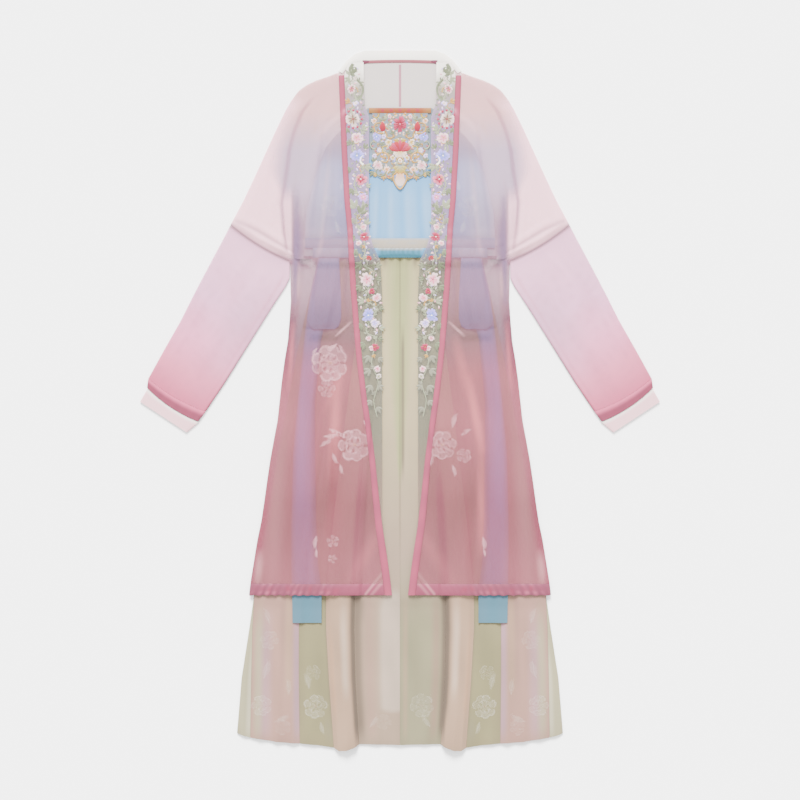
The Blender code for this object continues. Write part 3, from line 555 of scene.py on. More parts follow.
def flat_tube(name, side, rings, steps, height, fold, paint, material, sags, across=26):
    """Flattened tube of cloth with open ends, from rings that join its outer edge to its lower edge.

    Each ring curves towards the hand by its sag.
    """
    at = np.linspace(0, len(rings) - 1, steps + 1)
    table = np.array(rings, float)
    ring = np.stack([np.interp(at, range(len(rings)), table[:, k]) for k in range(4)], 1)
    width = np.hypot(ring[:, 2] - ring[:, 0], ring[:, 3] - ring[:, 1])[:, None]
    cap_d, cap_z = np.array(TUBE_EDGE).T
    s = np.linspace(0, 1, across + 2)[None, 1:-1]
    flat = cap_d[-1] + (width - 2 * cap_d[-1]) * s
    one = np.ones_like(width)
    share = np.broadcast_to(s[:, ::-1], flat.shape)
    rise = fold(at[:, None], share)
    d = np.concatenate([one * cap_d, flat, width - one * cap_d[::-1], width - one * cap_d[1:],
                        flat[:, ::-1], one * cap_d[:0:-1]], 1)
    z = np.concatenate([one * cap_z, 0 * flat, one * cap_z[::-1], one * (1 - cap_z[1:]), 0 * flat + 1,
                        one * (1 - cap_z[:0:-1])], 1) * height
    first = across + 3 * len(TUBE_EDGE) - 1
    z[:, first:first + across] += rise
    inner_d = np.clip(d, TUBE_WALL, width - TUBE_WALL)
    squeezed = height / 2 + (z - height / 2) * (1 - 2 * TUBE_WALL / height)
    inner_z = np.where(z > height, z - TUBE_WALL, squeezed)
    all_d, all_z = np.concatenate([d, inner_d], 1), np.concatenate([z, inner_z], 1) + 0.15
    part = all_d / width
    out = 4 * part * (1 - part) * np.interp(at, range(len(rings)), sags)[:, None] / width
    step_x, step_y = ring[:, 2:3] - ring[:, :1], ring[:, 3:4] - ring[:, 1:2]
    x = side * (ring[:, :1] + part * step_x - out * step_y)
    y = ring[:, 1:2] + part * step_y + out * step_x
    count = d.shape[1]
    ids = np.arange(x.size).reshape(x.shape)
    faces = []
    for block, turn in ((ids[:, :count], 1), (ids[:, count:], -1)):
        ahead = np.roll(block, -1, axis=1)
        quads = np.stack([block[:-1], ahead[:-1], ahead[1:], block[1:]], -1).reshape(-1, 4)
        faces += (quads if turn > 0 else quads[:, ::-1]).tolist()
    for k in (0, -1):
        outer, inner = ids[k, :count], ids[k, count:]
        faces += np.stack([outer, np.roll(outer, -1), np.roll(inner, -1), inner], 1).tolist()
    tint, cover = paint(np.broadcast_to(at[:, None] / (len(rings) - 1), x.shape), part, x, y)
    points = np.stack([x.ravel(), y.ravel(), all_z.ravel()], 1)
    return add_mesh(name, points, faces, tint.reshape(-1, 3), cover.ravel(), material, sharp=70)


class Stitches:
    """Collects raised petals, leaves and cords in plan, to be laid on a surface as one piece."""

    def __init__(self):
        self.points, self.faces, self.tints, self.uvs, self.covers = [], [], [], [], []

    def add(self, points, faces, tints, uvs, cover=1.0):
        start = len(self.points)
        self.points += points
        self.faces += [tuple(i + start for i in f) for f in faces]
        self.tints += tints
        self.uvs += uvs
        self.covers += cover if isinstance(cover, list) else [cover] * len(points)

    def petal(self, x, y, turn, length, width, height, inner, outer, round_tip=0.35, cover=1.0, count=12,
              soft=False):
        """Domed petal from its base at x, y; turn in degrees; a round tip or, below 0, a pointed leaf.

        A soft one fades out at its rim.
        """
        t = math.radians(turn)
        ca, sa = math.cos(t), math.sin(t)
        points, tints, uvs = [], [], []
        a0, a1 = np.array(COLOURS[inner]), np.array(COLOURS[outer])
        for scale, rise in ((1.0, 0.0), (0.66, 0.85)):
            for i in range(count):
                a = TAU * i / count
                u = length * (0.5 - 0.5 * scale * math.cos(a))
                if round_tip >= 0:
                    v = scale * width / 2 * math.sin(a) * (0.8 - round_tip * math.cos(a))
                else:
                    v = scale * width / 2 * math.sin(a) * abs(math.sin(a)) ** 0.6
                points.append((x + u * ca - v * sa, y + u * sa + v * ca, height * rise))
                tints.append(tuple(a0 + (a1 - a0) * u / length))
                uvs.append((u / 10, v / 10))
        points.append((x + length * 0.5 * ca, y + length * 0.5 * sa, height))
        tints.append(tuple((a0 + a1) / 2))
        uvs.append((length * 0.05, 0.0))
        faces = []
        for i in range(count):
            j = (i + 1) % count
            faces += [(i, j, j + count, i + count), (i + count, j + count, 2 * count)]
        self.add(points, faces, tints, uvs, [0.0] * count + [cover] * (count + 1) if soft else cover)

    def cord(self, path, width, height, tint, end_width=None, cover=1.0, soft=False):
        """Raised cord along points, from one width to another; a soft one fades out at its sides."""
        points, tints, uvs, faces = [], [], [], []
        n = len(path)
        far = width if end_width is None else end_width
        travelled = 0.0
        for i, (x, y) in enumerate(path):
            a, b = path[max(i - 1, 0)], path[min(i + 1, n - 1)]
            dx, dy = b[0] - a[0], b[1] - a[1]
            size = math.hypot(dx, dy) or 1.0
            half = (width + (far - width) * i / max(1, n - 1)) / 2
            if i:
                travelled += math.hypot(x - path[i - 1][0], y - path[i - 1][1])
            for v, rise in ((-1, 0.0), (-0.5, 0.8), (0.5, 0.8), (1, 0.0)):
                points.append((x - v * half * dy / size, y + v * half * dx / size, height * rise))
                tints.append(COLOURS[tint])
                uvs.append((v * half / 10, travelled / 10))
        for i in range(n - 1):
            for k in range(3):
                a = i * 4 + k
                faces.append((a, a + 4, a + 5, a + 1))
        self.add(points, faces, tints, uvs, [0.0, cover, cover, 0.0] * n if soft else cover)

    def flower(self, x, y, size, petals, turn, outer, inner, core, height=0.45):
        """Uneven flower with a small core: each petal has two lobes and a coloured wedge up its middle."""
        for k in range(petals):
            angle = turn + 360 * k / petals + 9 * math.sin(2.1 * k + x)
            reach = size * (0.48 + 0.07 * math.sin(1.7 * k + y))
            for lobe in (-1, 1):
                shorter = 0.08 if lobe * (-1) ** k > 0 else 0.0
                self.petal(x, y, angle + lobe * 68 / petals, reach * (1 - shorter), size * 1.6 / petals,
                           height, inner, outer, 0.3, count=10)
            self.petal(x, y, angle, reach * 0.72, size * 0.8 / petals, height * 1.3, inner, inner, -1,
                       count=8)
        self.petal(x - size * 0.07, y, 0, size * 0.14, size * 0.14, height * 1.6, core, core, 0.0, count=8)

    def spray(self, x, y, turn, size, tint):
        """Stalk with three small leaves."""
        for spread, reach in ((-38, 0.8), (0, 1.0), (38, 0.8)):
            self.petal(x, y, turn + spread, size * reach, size * 0.34, 0.5, tint, tint, -1)

    def lay(self, name, surface, material, side=1):
        """Makes the piece on a surface; side = -1 mirrors it."""
        points = np.array(self.points, float)
        points[:, 0] *= side
        points[:, 2] += surface(points[:, 0], points[:, 1])
        faces = [f[::-1] for f in self.faces] if side < 0 else self.faces
        return add_mesh(name, points, faces, np.array(self.tints), self.covers, material, self.uvs,
                        closed=False)


def arc(x, y, radius, start, end, count=12, end_radius=None):
    """Points of an arc or, with an end radius, of a scroll; angles in degrees."""
    far = radius if end_radius is None else end_radius
    out = []
    for i in range(count + 1):
        s = i / count
        a = math.radians(start + (end - start) * s)
        r = radius + (far - radius) * s
        out.append((x + r * math.cos(a), y + r * math.sin(a)))
    return out


# Materials ----------------------------------------------------------------------------------------


def group(name, inputs, outputs):
    """New node group with its input and output nodes."""
    tree = bpy.data.node_groups.new(name, "ShaderNodeTree")
    for title, kind, default in inputs:
        made = tree.interface.new_socket(title, in_out="INPUT", socket_type=kind)
        if default is not None:
            made.default_value = default
    for title, kind in outputs:
        tree.interface.new_socket(title, in_out="OUTPUT", socket_type=kind)
    return tree, tree.nodes.new("NodeGroupInput"), tree.nodes.new("NodeGroupOutput")


def math_node(tree, operation, a, b=None):
    """Output of a math node whose inputs are numbers or sockets."""
    node = tree.nodes.new("ShaderNodeMath")
    node.operation = operation
    for socket, value in zip(node.inputs, (a, b)):
        if value is None:
            continue
        if isinstance(value, (int, float)):
            socket.default_value = value
        else:
            tree.links.new(value, socket)
    return node.outputs[0]


SLUB_SCALE, CLOUD_SCALE = 760.0, 16.0


def weave_group():
    """Plain silk: warp and weft waves broken by slubs; a colour near the given one and a height."""
    tree, given, out = group(
        "silk_weave",
        [("colour", "NodeSocketColor", None), ("position", "NodeSocketVector", None),
         ("count", "NodeSocketFloat", 900.0), ("mottle", "NodeSocketFloat", 0.06)],
        [("colour", "NodeSocketColor"), ("height", "NodeSocketFloat")],
    )
    split = tree.nodes.new("ShaderNodeSeparateXYZ")
    tree.links.new(given.outputs["position"], split.inputs[0])
    scale = math_node(tree, "MULTIPLY", given.outputs["count"], TAU)
    warp = math_node(tree, "SINE", math_node(tree, "MULTIPLY", split.outputs[0], scale))
    weft = math_node(tree, "SINE", math_node(tree, "MULTIPLY", split.outputs[1], scale))
    cloth = math_node(tree, "MULTIPLY", warp, weft)
    slub = tree.nodes.new("ShaderNodeTexNoise")
    slub.inputs["Scale"].default_value = SLUB_SCALE
    slub.inputs["Detail"].default_value = 3.0
    tree.links.new(given.outputs["position"], slub.inputs["Vector"])
    cloud = tree.nodes.new("ShaderNodeTexNoise")
    cloud.inputs["Scale"].default_value = CLOUD_SCALE
    cloud.inputs["Detail"].default_value = 2.0
    tree.links.new(given.outputs["position"], cloud.inputs["Vector"])
    uneven = math_node(tree, "ADD", slub.outputs["Fac"], cloud.outputs["Fac"])
    tone = math_node(tree, "SUBTRACT", uneven, 1.0)
    tone = math_node(tree, "MULTIPLY", tone, given.outputs["mottle"])
    tone = math_node(tree, "ADD", math_node(tree, "MULTIPLY", tone, 4.0), 1.0)
    scaled = tree.nodes.new("ShaderNodeVectorMath")
    scaled.operation = "SCALE"
    tree.links.new(given.outputs["colour"], scaled.inputs[0])
    tree.links.new(tone, scaled.inputs["Scale"])
    tree.links.new(scaled.outputs[0], out.inputs["colour"])
    height = math_node(tree, "ADD", math_node(tree, "MULTIPLY", cloth, 0.1), slub.outputs["Fac"])
    tree.links.new(height, out.inputs["height"])
    return tree


def thread_group():
    """Satin stitch: parallel threads across a pad; a colour near the given one and a height."""
    tree, given, out = group(
        "satin_thread",
        [("colour", "NodeSocketColor", None), ("thread", "NodeSocketVector", None),
         ("count", "NodeSocketFloat", 22.0)],
        [("colour", "NodeSocketColor"), ("height", "NodeSocketFloat")],
    )
    split = tree.nodes.new("ShaderNodeSeparateXYZ")
    tree.links.new(given.outputs["thread"], split.inputs[0])
    scale = math_node(tree, "MULTIPLY", given.outputs["count"], TAU)
    wave = math_node(tree, "SINE", math_node(tree, "MULTIPLY", split.outputs[1], scale))
    tone = math_node(tree, "ADD", math_node(tree, "MULTIPLY", wave, 0.10), 1.0)
    scaled = tree.nodes.new("ShaderNodeVectorMath")
    scaled.operation = "SCALE"
    tree.links.new(given.outputs["colour"], scaled.inputs[0])
    tree.links.new(tone, scaled.inputs["Scale"])
    tree.links.new(scaled.outputs[0], out.inputs["colour"])
    tree.links.new(wave, out.inputs["height"])
    return tree


WEAVE = weave_group()
THREAD = thread_group()
GLOSS, SHEEN_ROUGHNESS, BUMP_STRENGTH = 0.3, 0.5, 0.5


def cloth_material(name, roughness, sheen, count=900.0, mottle=0.03, depth=0.00001, sheer=False,
                   thread=False):
    """Silk with a weave, or stitches with threads; a sheer one is as see-through as its cover says."""
    made = bpy.data.materials.new(name)
    made.use_nodes = True
    tree = made.node_tree
    shader = tree.nodes["Principled BSDF"]
    shader.inputs["Roughness"].default_value = roughness
    shader.inputs["Metallic"].default_value = 0.0
    shader.inputs["Specular IOR Level"].default_value = GLOSS
    shader.inputs["Sheen Weight"].default_value = sheen
    shader.inputs["Sheen Roughness"].default_value = SHEEN_ROUGHNESS
    tint = tree.nodes.new("ShaderNodeAttribute")
    tint.attribute_name = "tint"
    effect = tree.nodes.new("ShaderNodeGroup")
    effect.node_tree = THREAD if thread else WEAVE
    tree.links.new(tint.outputs["Color"], effect.inputs["colour"])
    if thread:
        place = tree.nodes.new("ShaderNodeUVMap")
        place.uv_map = "thread"
        tree.links.new(place.outputs["UV"], effect.inputs["thread"])
        effect.inputs["count"].default_value = count
    else:
        place = tree.nodes.new("ShaderNodeTexCoord")
        tree.links.new(place.outputs["Object"], effect.inputs["position"])
        effect.inputs["count"].default_value = count
        effect.inputs["mottle"].default_value = mottle
    tree.links.new(effect.outputs["colour"], shader.inputs["Base Color"])
    bend = tree.nodes.new("ShaderNodeBump")
    bend.inputs["Strength"].default_value = BUMP_STRENGTH
    bend.inputs["Distance"].default_value = depth
    tree.links.new(effect.outputs["height"], bend.inputs["Height"])
    tree.links.new(bend.outputs["Normal"], shader.inputs["Normal"])
    if sheer:
        cover = tree.nodes.new("ShaderNodeAttribute")
        cover.attribute_name = "cover"
        tree.links.new(cover.outputs["Fac"], shader.inputs["Alpha"])
    return made


SILK = cloth_material("plain_silk", 0.62, 0.15, depth=0.000005)
SHEER = cloth_material("sheer_silk", 0.7, 0.1, mottle=0.015, depth=0.0, sheer=True)
SLEEVE_SILK = cloth_material("sleeve_silk", 0.66, 0.15, sheer=True)
SKIRT_SILK = cloth_material("skirt_silk", 0.66, 0.12, mottle=0.04)
SATIN = cloth_material("binding_silk", 0.5, 0.1, mottle=0.02)
EMBROIDERY = cloth_material("satin_stitch", 0.45, 0.0, count=22.0, depth=0.0001, thread=True)
WOVEN = cloth_material("woven_flower", 0.6, 0.0, count=9.0, depth=0.00001, sheer=True, thread=True)


def place(piece, slot_name, *nodes):
    """Give a piece its body and hide the nodes that it replaces; the slot name is not used."""
    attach(piece, "root")
    if nodes:
        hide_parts(*nodes)
    return piece


def label(side):
    return "right" if side > 0 else "left"


def turned(side, *grids):
    """Grids of one side; the left one's columns run the other way, so that its faces still look up."""
    return [grid[:, ::-1] for grid in grids] if side < 0 else grids


# The coat -----------------------------------------------------------------------------------------

# Level and colour, and level and cover, where cover is 0 for clear and 1 for solid
COAT_COLOURS = [
    (600, "shoulder"), (530, "shoulder"), (460, "veil"), (390, "veil"), (310, "coat_mid"),
    (200, "coat_mid"), (150, "coat_dim"), (118, "coat_dim"), (50, "coat_rose"), (-40, "coat_rose"),
    (-190, "coat_low"), (-300, "coat_hem"),
]
COAT_COVER = [(600, 0.32), (470, 0.26), (260, 0.26), (180, 0.30), (90, 0.38), (-184, 0.42), (-357, 0.42)]
# Streaks on the coat: painted highlights and shade of its folds, and the dress and ribbons seen through it
COAT_STREAKS = [
    # side, from x, from y, to x, to y, width, colour, strength
    (1, 102, 112, 126, 10, 30, "fold_highlight_rose", 0.45),
    (1, 126, 40, 150, -90, 26, "fold_highlight_rose", 0.85),
    (1, 148, -90, 150, -280, 26, "fold_highlight_rose", 0.5),
    (-1, 116, 40, 122, -140, 34, "fold_highlight_rose", 0.75),
    (-1, 100, 60, 140, -20, 22, "fold_highlight_rose", 0.3),
    (-1, 112, -60, 128, -250, 34, "deep_rose_shade", 0.4),
    (-1, 120, -90, 122, -300, 60, "deep_rose_shade", 0.3),
    (1, 122, -160, 132, -350, 30, "deep_rose_shade", 0.4),
    (0, 30, -230, 92, -330, 40, "fold_highlight_rose", 0.2),
    (0, 176, 262, 192, 130, 12, "deep_rose_shade", 0.3),
    (0, 196, 140, 204, 20, 14, "fold_highlight_rose", 0.5),
    (0, 184, 330, 188, 240, 30, "dusk", 0.72),
    (0, 186, 256, 188, 190, 12, "shoulder", 0.35),
    (0, 190, 372, 193, 180, 15, "dusk", 0.85),
    (0, 158, 210, 160, 140, 12, "dusk", 0.5),
    (0, 90, 144, 118, 118, 6, "woven", 0.7),
    (0, 130, 362, 150, 253, 12, "dusk", 0.42),
    (0, 150, 253, 160, 184, 12, "deep_rose_shade", 0.30),
    (0, 140, 300, 152, 262, 16, "shoulder", 0.25),
    (0, 188, 390, 190, 230, 26, "dusk", 0.36),
    (0, 101, 262, 100, 140, 24, "deep_rose_shade", 0.34),
    (0, 99, 268, 98, 150, 22, "dusk", 0.32),
    (0, 150, 512, 160, 488, 9, "peach", 0.25),
    (0, 138, 500, 150, 476, 8, "peach", 0.18),
    (0, 166, 500, 172, 470, 10, "coat_mid", 0.18),
    (0, 128, 520, 140, 508, 9, "coat_mid", 0.15),
    (0, 178, 60, 182, -200, 34, "lavender", 0.06),
    (0, 172, -150, 178, -345, 40, "deep_rose_shade", 0.14),
    (-1, 124, -70, 124, -190, 14, "deep_rose_shade", 0.5),
    (0, 256, -280, 262, -336, 24, "shoulder", 0.4),
    (0, 214, 40, 238, -360, 52, "shoulder", 0.13),
    (-1, 150, 70, 150, -130, 60, "deep_rose_shade", 0.22),
    (0, 142, 487, 168, 276, 14, "dusk", 0.34),
    (0, 128, 470, 146, 276, 13, "shoulder", 0.34),
    (0, 122, 441, 128, 276, 12, "dusk", 0.22),
    (0, 160, 370, 164, 286, 50, "dusk", 0.27),
    (0, 136, 450, 142, 290, 54, "dusk", 0.17),
]
# Folds of the mitred corner, where highlights are painted: from x, from y, to x, to y
MITRE = (63, -355, 32, -316)
MITRE_EDGE = (52, -356, 30, -330)


# The roll above the arm seam, where a highlight is painted: from x, from y, to x, to y; and the coat's edge
# below that seam
ARM_ROLL_HIGHLIGHT = (301, 322, 204, 266)
SIDE_EDGE = OUTER_EDGE[len(SHOULDER) + len(ARM_SEAM) - 3:]


def coat_paint(x, y):
    """Colour and cover of the coat, for its fronts and its back."""
    tint = stops(y, COAT_COLOURS)
    cover = column(COAT_COVER, y)
    # Painted shade of the fold along the side edge, with more cover where the cloth doubles there
    edge = path_distance(np.abs(x), y, SIDE_EDGE)
    low = ease((230 - y) / 120)
    tint = mix(tint, colour("deep_rose_shade", x.shape), 0.42 * low * bump(edge, 16))
    cover = cover + 0.2 * low * bump(edge, 20)
    # Paler arm outside the armhole's fold, with painted shade lines along the fold
    outside, on = armhole(x, y)
    arm = on * ease((outside + 4) / (10 + 34 * ease((y - 370) / 60)))
    tint = mix(tint, colour("arm", x.shape), arm)
    cover = cover + 0.13 * arm
    fold_shade_lines = np.maximum(0.5 * bump(outside, 7), 0.45 * bump(outside + 19, 5) * ease((430 - y) / 60))
    tint = mix(tint, colour("coat_mid", x.shape), on * fold_shade_lines * ease((y - 272) / 50))
    cover = cover + 0.12 * on * bump(outside, 6)
    # Painted highlight on the roll beside the arm seam, and painted shade in the creases along the seam and
    # above it, where the seam allowances also show
    roll_highlight_distance = segment(np.abs(x), y, *ARM_ROLL_HIGHLIGHT)[0]
    tint = mix(tint, colour("arm", x.shape), 0.8 * bump(roll_highlight_distance, 11))
    seam = path_distance(np.abs(x), y, ARM_SEAM[:-1])
    upper = path_distance(np.abs(x), y, UPPER_CREASE)
    line = np.maximum(ease(1 - seam / 8), 0.5 * bump(upper, 8))
    tint = mix(tint, colour("crease", x.shape), line)
    cover = cover + 0.5 * line
    # Streaks: painted highlights and shade of the folds, and the dress that shows through
    for who, x0, y0, x1, y1, width, name, strength in COAT_STREAKS:
        distance, share = segment(np.abs(x), y, x0, y0, x1, y1)
        here = bump(distance, width / 2) * np.sin(math.pi * (0.12 + 0.76 * share)) * strength
        here = here * (1.0 if who == 0 else np.sign(x) == who)
        tint = mix(tint, colour(name, x.shape), here)
        if name == "dusk":
            cover = cover + 0.15 * here
    # Pale strip of the arm that lies inside the fold
    strip = on * ease((np.abs(x) - 196) / 5) * ease(-outside / 4) * ease((400 - y) / 40)
    tint = mix(tint, colour("arm", x.shape), 0.75 * strip)
    cover = cover + 0.26 * strip
    cloud = 0.10 * np.sin(x / 23 + 1.3 * np.sin(y / 61)) * np.sin(y / 47 + 1.1 * np.sin(x / 37)) * low
    return mitre(x, y, tint * (1 + cloud[..., None])), np.minimum(cover, 1.0)


def mitre(x, y, tint):
    """Painted highlights on the diagonal folds where the front binding turns into the hem binding."""
    fold = bump(segment(np.abs(x), y, *MITRE)[0], 4.0)
    fold = fold + 0.6 * bump(segment(np.abs(x), y, *MITRE_EDGE)[0], 5.0)
    return mix(tint, colour("shoulder", x.shape), 0.25 * np.minimum(1.0, fold))


def coat_front(side):
    """Sheer front of one side, from the shoulder to the hem binding."""
    hem = COAT_HEM + HEM_BINDING + SEAM
    y = np.linspace(hem, COAT_TOP, 300)[:, None]
    inner = np.interp(y, [FRONT_TOP, COAT_TOP], [0, 1.5]) + column(FRONT_EDGE, y) + BINDING_HALF + SEAM
    outer = np.interp(y, [p[1] for p in OUTER_EDGE[::-1]], [p[0] for p in OUTER_EDGE[::-1]])
    share = np.linspace(0, 1, 76)[None, :]
    x = side * (inner + share * (np.maximum(outer, inner + 1) - inner))
    y = y + 0 * x
    x, y = turned(side, x, y)
    tint, cover = coat_paint(x, y)
    return shell("coat_front_shell_" + label(side), x, y, over(x, y) + INSET, CLOTH, tint, cover, SHEER)


# Where the back's neckline meets the shoulder
NECK_CORNER = (105.0, 602.5)


def coat_back(side):
    hem = COAT_HEM + HEM_BINDING
    y = np.linspace(hem, NECK_SEAM - SEAM, 200)[:, None]
    neck = [NECK_CORNER] + [(distance, level - SEAM) for distance, level in COLLAR_INNER[2:-1][::-1]]
    edge = [p for p in OUTER_EDGE if p[1] > hem][::-1] + neck
    edge[0:0] = [(float(column(COAT_SIDE, hem)), hem)]
    outer = np.interp(y, [p[1] for p in edge], [p[0] for p in edge])
    x = side * (SEAM / 2 + np.linspace(0, 1, 60)[None, :] * (outer - SEAM / 2))
    y = y + 0 * x
    x, y = turned(side, x, y)
    tint, cover = coat_paint(x, y)
    neck_share = ease((y - 440) / 60) * bump(np.abs(x), 150)
    tint = mix(tint, colour("inside", x.shape), ease(neck_share * 2))
    cover = np.maximum(cover, 0.85 * ease(neck_share * 2))
    return shell("coat_back_shell_" + label(side), x, y, 0.2 + 0 * x, 0.7, tint, cover, SHEER)


# Gathers of the hem, where shade is painted: distance from the centre, half width
HEM_GATHER_SHADES = [(132, 9), (165, 6), (118, 12), (205, 8), (240, 5)]


def hem_front(side):
    """Ruched binding along the hem of one front."""
    s = np.linspace(0, 1, 11)[:, None]
    y = COAT_HEM + s * HEM_BINDING
    start = column(FRONT_EDGE, y) + BINDING_HALF + SEAM
    end = column(COAT_SIDE, y)
    x = side * (start + np.linspace(0, 1, 260)[None, :] * (end - start))
    y = y + 0 * x
    x, y = turned(side, x, y)
    slant = np.abs(x) + 0.5 * (y - COAT_HEM)
    rough = ease((np.abs(x) - 90) / 60)
    wave = ripple(slant, 13, 1.0 + side) * (0.25 + 0.75 * ripple(np.abs(x), 61, side))
    wave = wave * (0.35 + 0.65 * rough)
    dark = np.maximum.reduce([bump(np.abs(x) - at, width) for at, width in HEM_GATHER_SHADES])
    crown = 1 - np.abs(2 * s - 1) ** 3
    # Painted shade and highlight on the ruching: darker in its troughs and gathers, pinker on its crests
    tint = mix(colour("binding", x.shape), colour("hem", x.shape), 0.62 + 0.3 * (1 - wave) * rough + 0 * s)
    tint = mix(tint, colour("deep_rose_shade", x.shape), 0.55 * dark * bump(s - 0.45 - 0.15 * np.sin(x / 9), 0.5))
    tint = mix(tint, colour("pink", x.shape), 0.3 * wave * bump(s - 0.2, 0.3) * rough)
    sway = 1.6 * (1 - s) ** 2 * (ripple(np.abs(x), 17, 2.0 + side) - 0.5) * rough
    high = 0.7 + (0.9 + 0.8 * wave) * crown
    return shell("hem_front_shell_" + label(side), x, y + sway, over(x, y) + 0.1, high,
                 mitre(x, y, tint), 1.0, SATIN)


def hem_back():
    y = np.linspace(COAT_HEM, COAT_HEM + HEM_BINDING - SEAM, 5)[:, None]
    x = np.linspace(-1, 1, 80)[None, :] * column(COAT_SIDE, y)
    y = y + 0 * x
    high = 0.9 + 0.3 * ripple(x, 11, 0.4)
    return shell("hem_back_shell", x, y, 0.1 + 0 * x, high, colour("hem", x.shape), 1.0, SATIN)


def front_binding(side):
    y = np.linspace(COAT_HEM, FRONT_TOP, 280)[:, None]
    half = BINDING_HALF + 1.6 * ease((-60 - y) / 250)
    t = np.linspace(-1, 1, 9)[None, :]
    x = side * (column(FRONT_EDGE, y) + t * half - (half - BINDING_HALF))
    y = y + 0 * x
    x, y = turned(side, x, y)
    t = t + 0 * x
    round_top = np.sqrt(np.maximum(0.0, 1 - 0.96 * t * t))
    pucker = 0.14 * ripple(y, 9.0, 0.7 * side)
    # Painted shade down the binding's rounded sides, and darker patches along its lower part
    tint = mix(colour("binding", x.shape), colour("hem", x.shape), 0.25 * np.abs(t) ** 2)
    tint = mix(tint, colour("hem", x.shape), 0.3 * ripple(y, 57.0, 0.7 + side) * ease((60 - y) / 60))
    high = 0.4 + (1.6 + pucker) * round_top
    return shell("front_binding_shell_" + label(side), x, y, over(x, y) + 0.1, high, tint, 1.0, SATIN)


def band_edges(y):
    """Distances of the front band's inner and outer edge from the centre."""
    half = BINDING_HALF + 3.2 * ease((-60 - y) / 250)
    outer = column(FRONT_EDGE, y) - half - SEAM - 0.28 * np.maximum(0, y - FRONT_TOP)
    return np.minimum(column(BAND_INNER, y), outer - 1.2), outer


# Level and colour, and level and cover, of the front band
BAND_COLOURS = [
    (620, "collar"), (606, "collar"), (572, "waist"), (515, "gauze"), (300, "gauze"), (240, "band"),
    (-60, "band"), (-160, "band_low"),
]
BAND_COVER = [(621, 0.85), (560, 0.7), (515, 0.5), (300, 0.46), (250, 0.3), (-60, 0.36), (-236, 0.2)]
TIE_MIDDLE = 271.0


def front_band(side):
    """Sheer band inside one front edge, which ends in a point."""
    y = np.linspace(BAND_POINT, NECK_SEAM - SEAM, 260)[:, None]
    inner, outer = band_edges(y)
    t = np.linspace(0, 1, 14)[None, :]
    x = side * (inner + t * (outer - inner))
    y = y + 0 * x
    tint = mix(stops(y, BAND_COLOURS), colour("tie", x.shape), 0.45 * bump(y - TIE_MIDDLE, 12))
    cover = column(BAND_COVER, y) + 0.3 * bump(t - 0.03, 0.07)
    x, y, tint, cover = turned(side, x, y, tint, cover)
    return shell("front_band_shell_" + label(side), x, y, over(x, y) + INSET, CLOTH, tint, cover, SHEER)


def collar():
    """Cream stand behind the neck, mirrored from its right half."""
    rows = len(COLLAR_OUTER)
    at = np.linspace(0, rows - 1, 43)
    out = np.stack([np.interp(at, range(rows), np.array(COLLAR_OUTER)[:, k]) for k in (0, 1)], 1)
    inn = np.stack([np.interp(at, range(rows), np.array(COLLAR_INNER)[:, k]) for k in (0, 1)], 1)
    s = np.linspace(1, 0, 7)[:, None]
    x = out[None, :, 0] + s * (inn - out)[None, :, 0]
    y = out[None, :, 1] + s * (inn - out)[None, :, 1]
    x, y = np.concatenate([-x[:, :0:-1], x], 1), np.concatenate([y[:, :0:-1], y], 1)
    crown = 0.8 * (1 - np.abs(2 * s - 1) ** 2) + 0 * x
    tint = mix(colour("collar", x.shape), colour("inside", x.shape), 0.35 * (s + 0 * x) ** 3)
    return shell("collar_shell", x, y, 0.15 + 0 * x, 1.1 + crown, tint, 1.0, SILK)


# The sleeves --------------------------------------------------------------------------------------


def sleeve_fold(k, share):
    """Height of the sleeve's folds at ring k and a share across it."""
    seam = 1.3 * ease(1 - k / 2) * np.sin(math.pi * share)
    long = 1.1 * bump(share - 0.32 - 0.03 * k, 0.16) * ease(k / 3) * ease((8 - k) / 3)
    second = 0.8 * bump(share - 0.72 + 0.02 * k, 0.14) * ease((k - 1) / 3) * ease((8 - k) / 2)
    fine = 0.5 * bump(share - 0.5 + 0.04 * k, 0.07) * ease((k - 0.5) / 2) * ease((6 - k) / 3)
    fine += 0.5 * bump(share - 0.2 + 0.01 * k, 0.06) * ease((k - 3) / 2) * ease((8 - k) / 2)
    return seam + long + second + fine


# Share of the way from the arm seam to the cuff, colour
SLEEVE_COLOURS = [
    (0, "sleeve"), (0.35, "sleeve"), (0.6, "sleeve_mid"), (0.78, "sleeve_blush"), (0.9, "sleeve_pink"),
    (1, "sleeve_rose"),
]


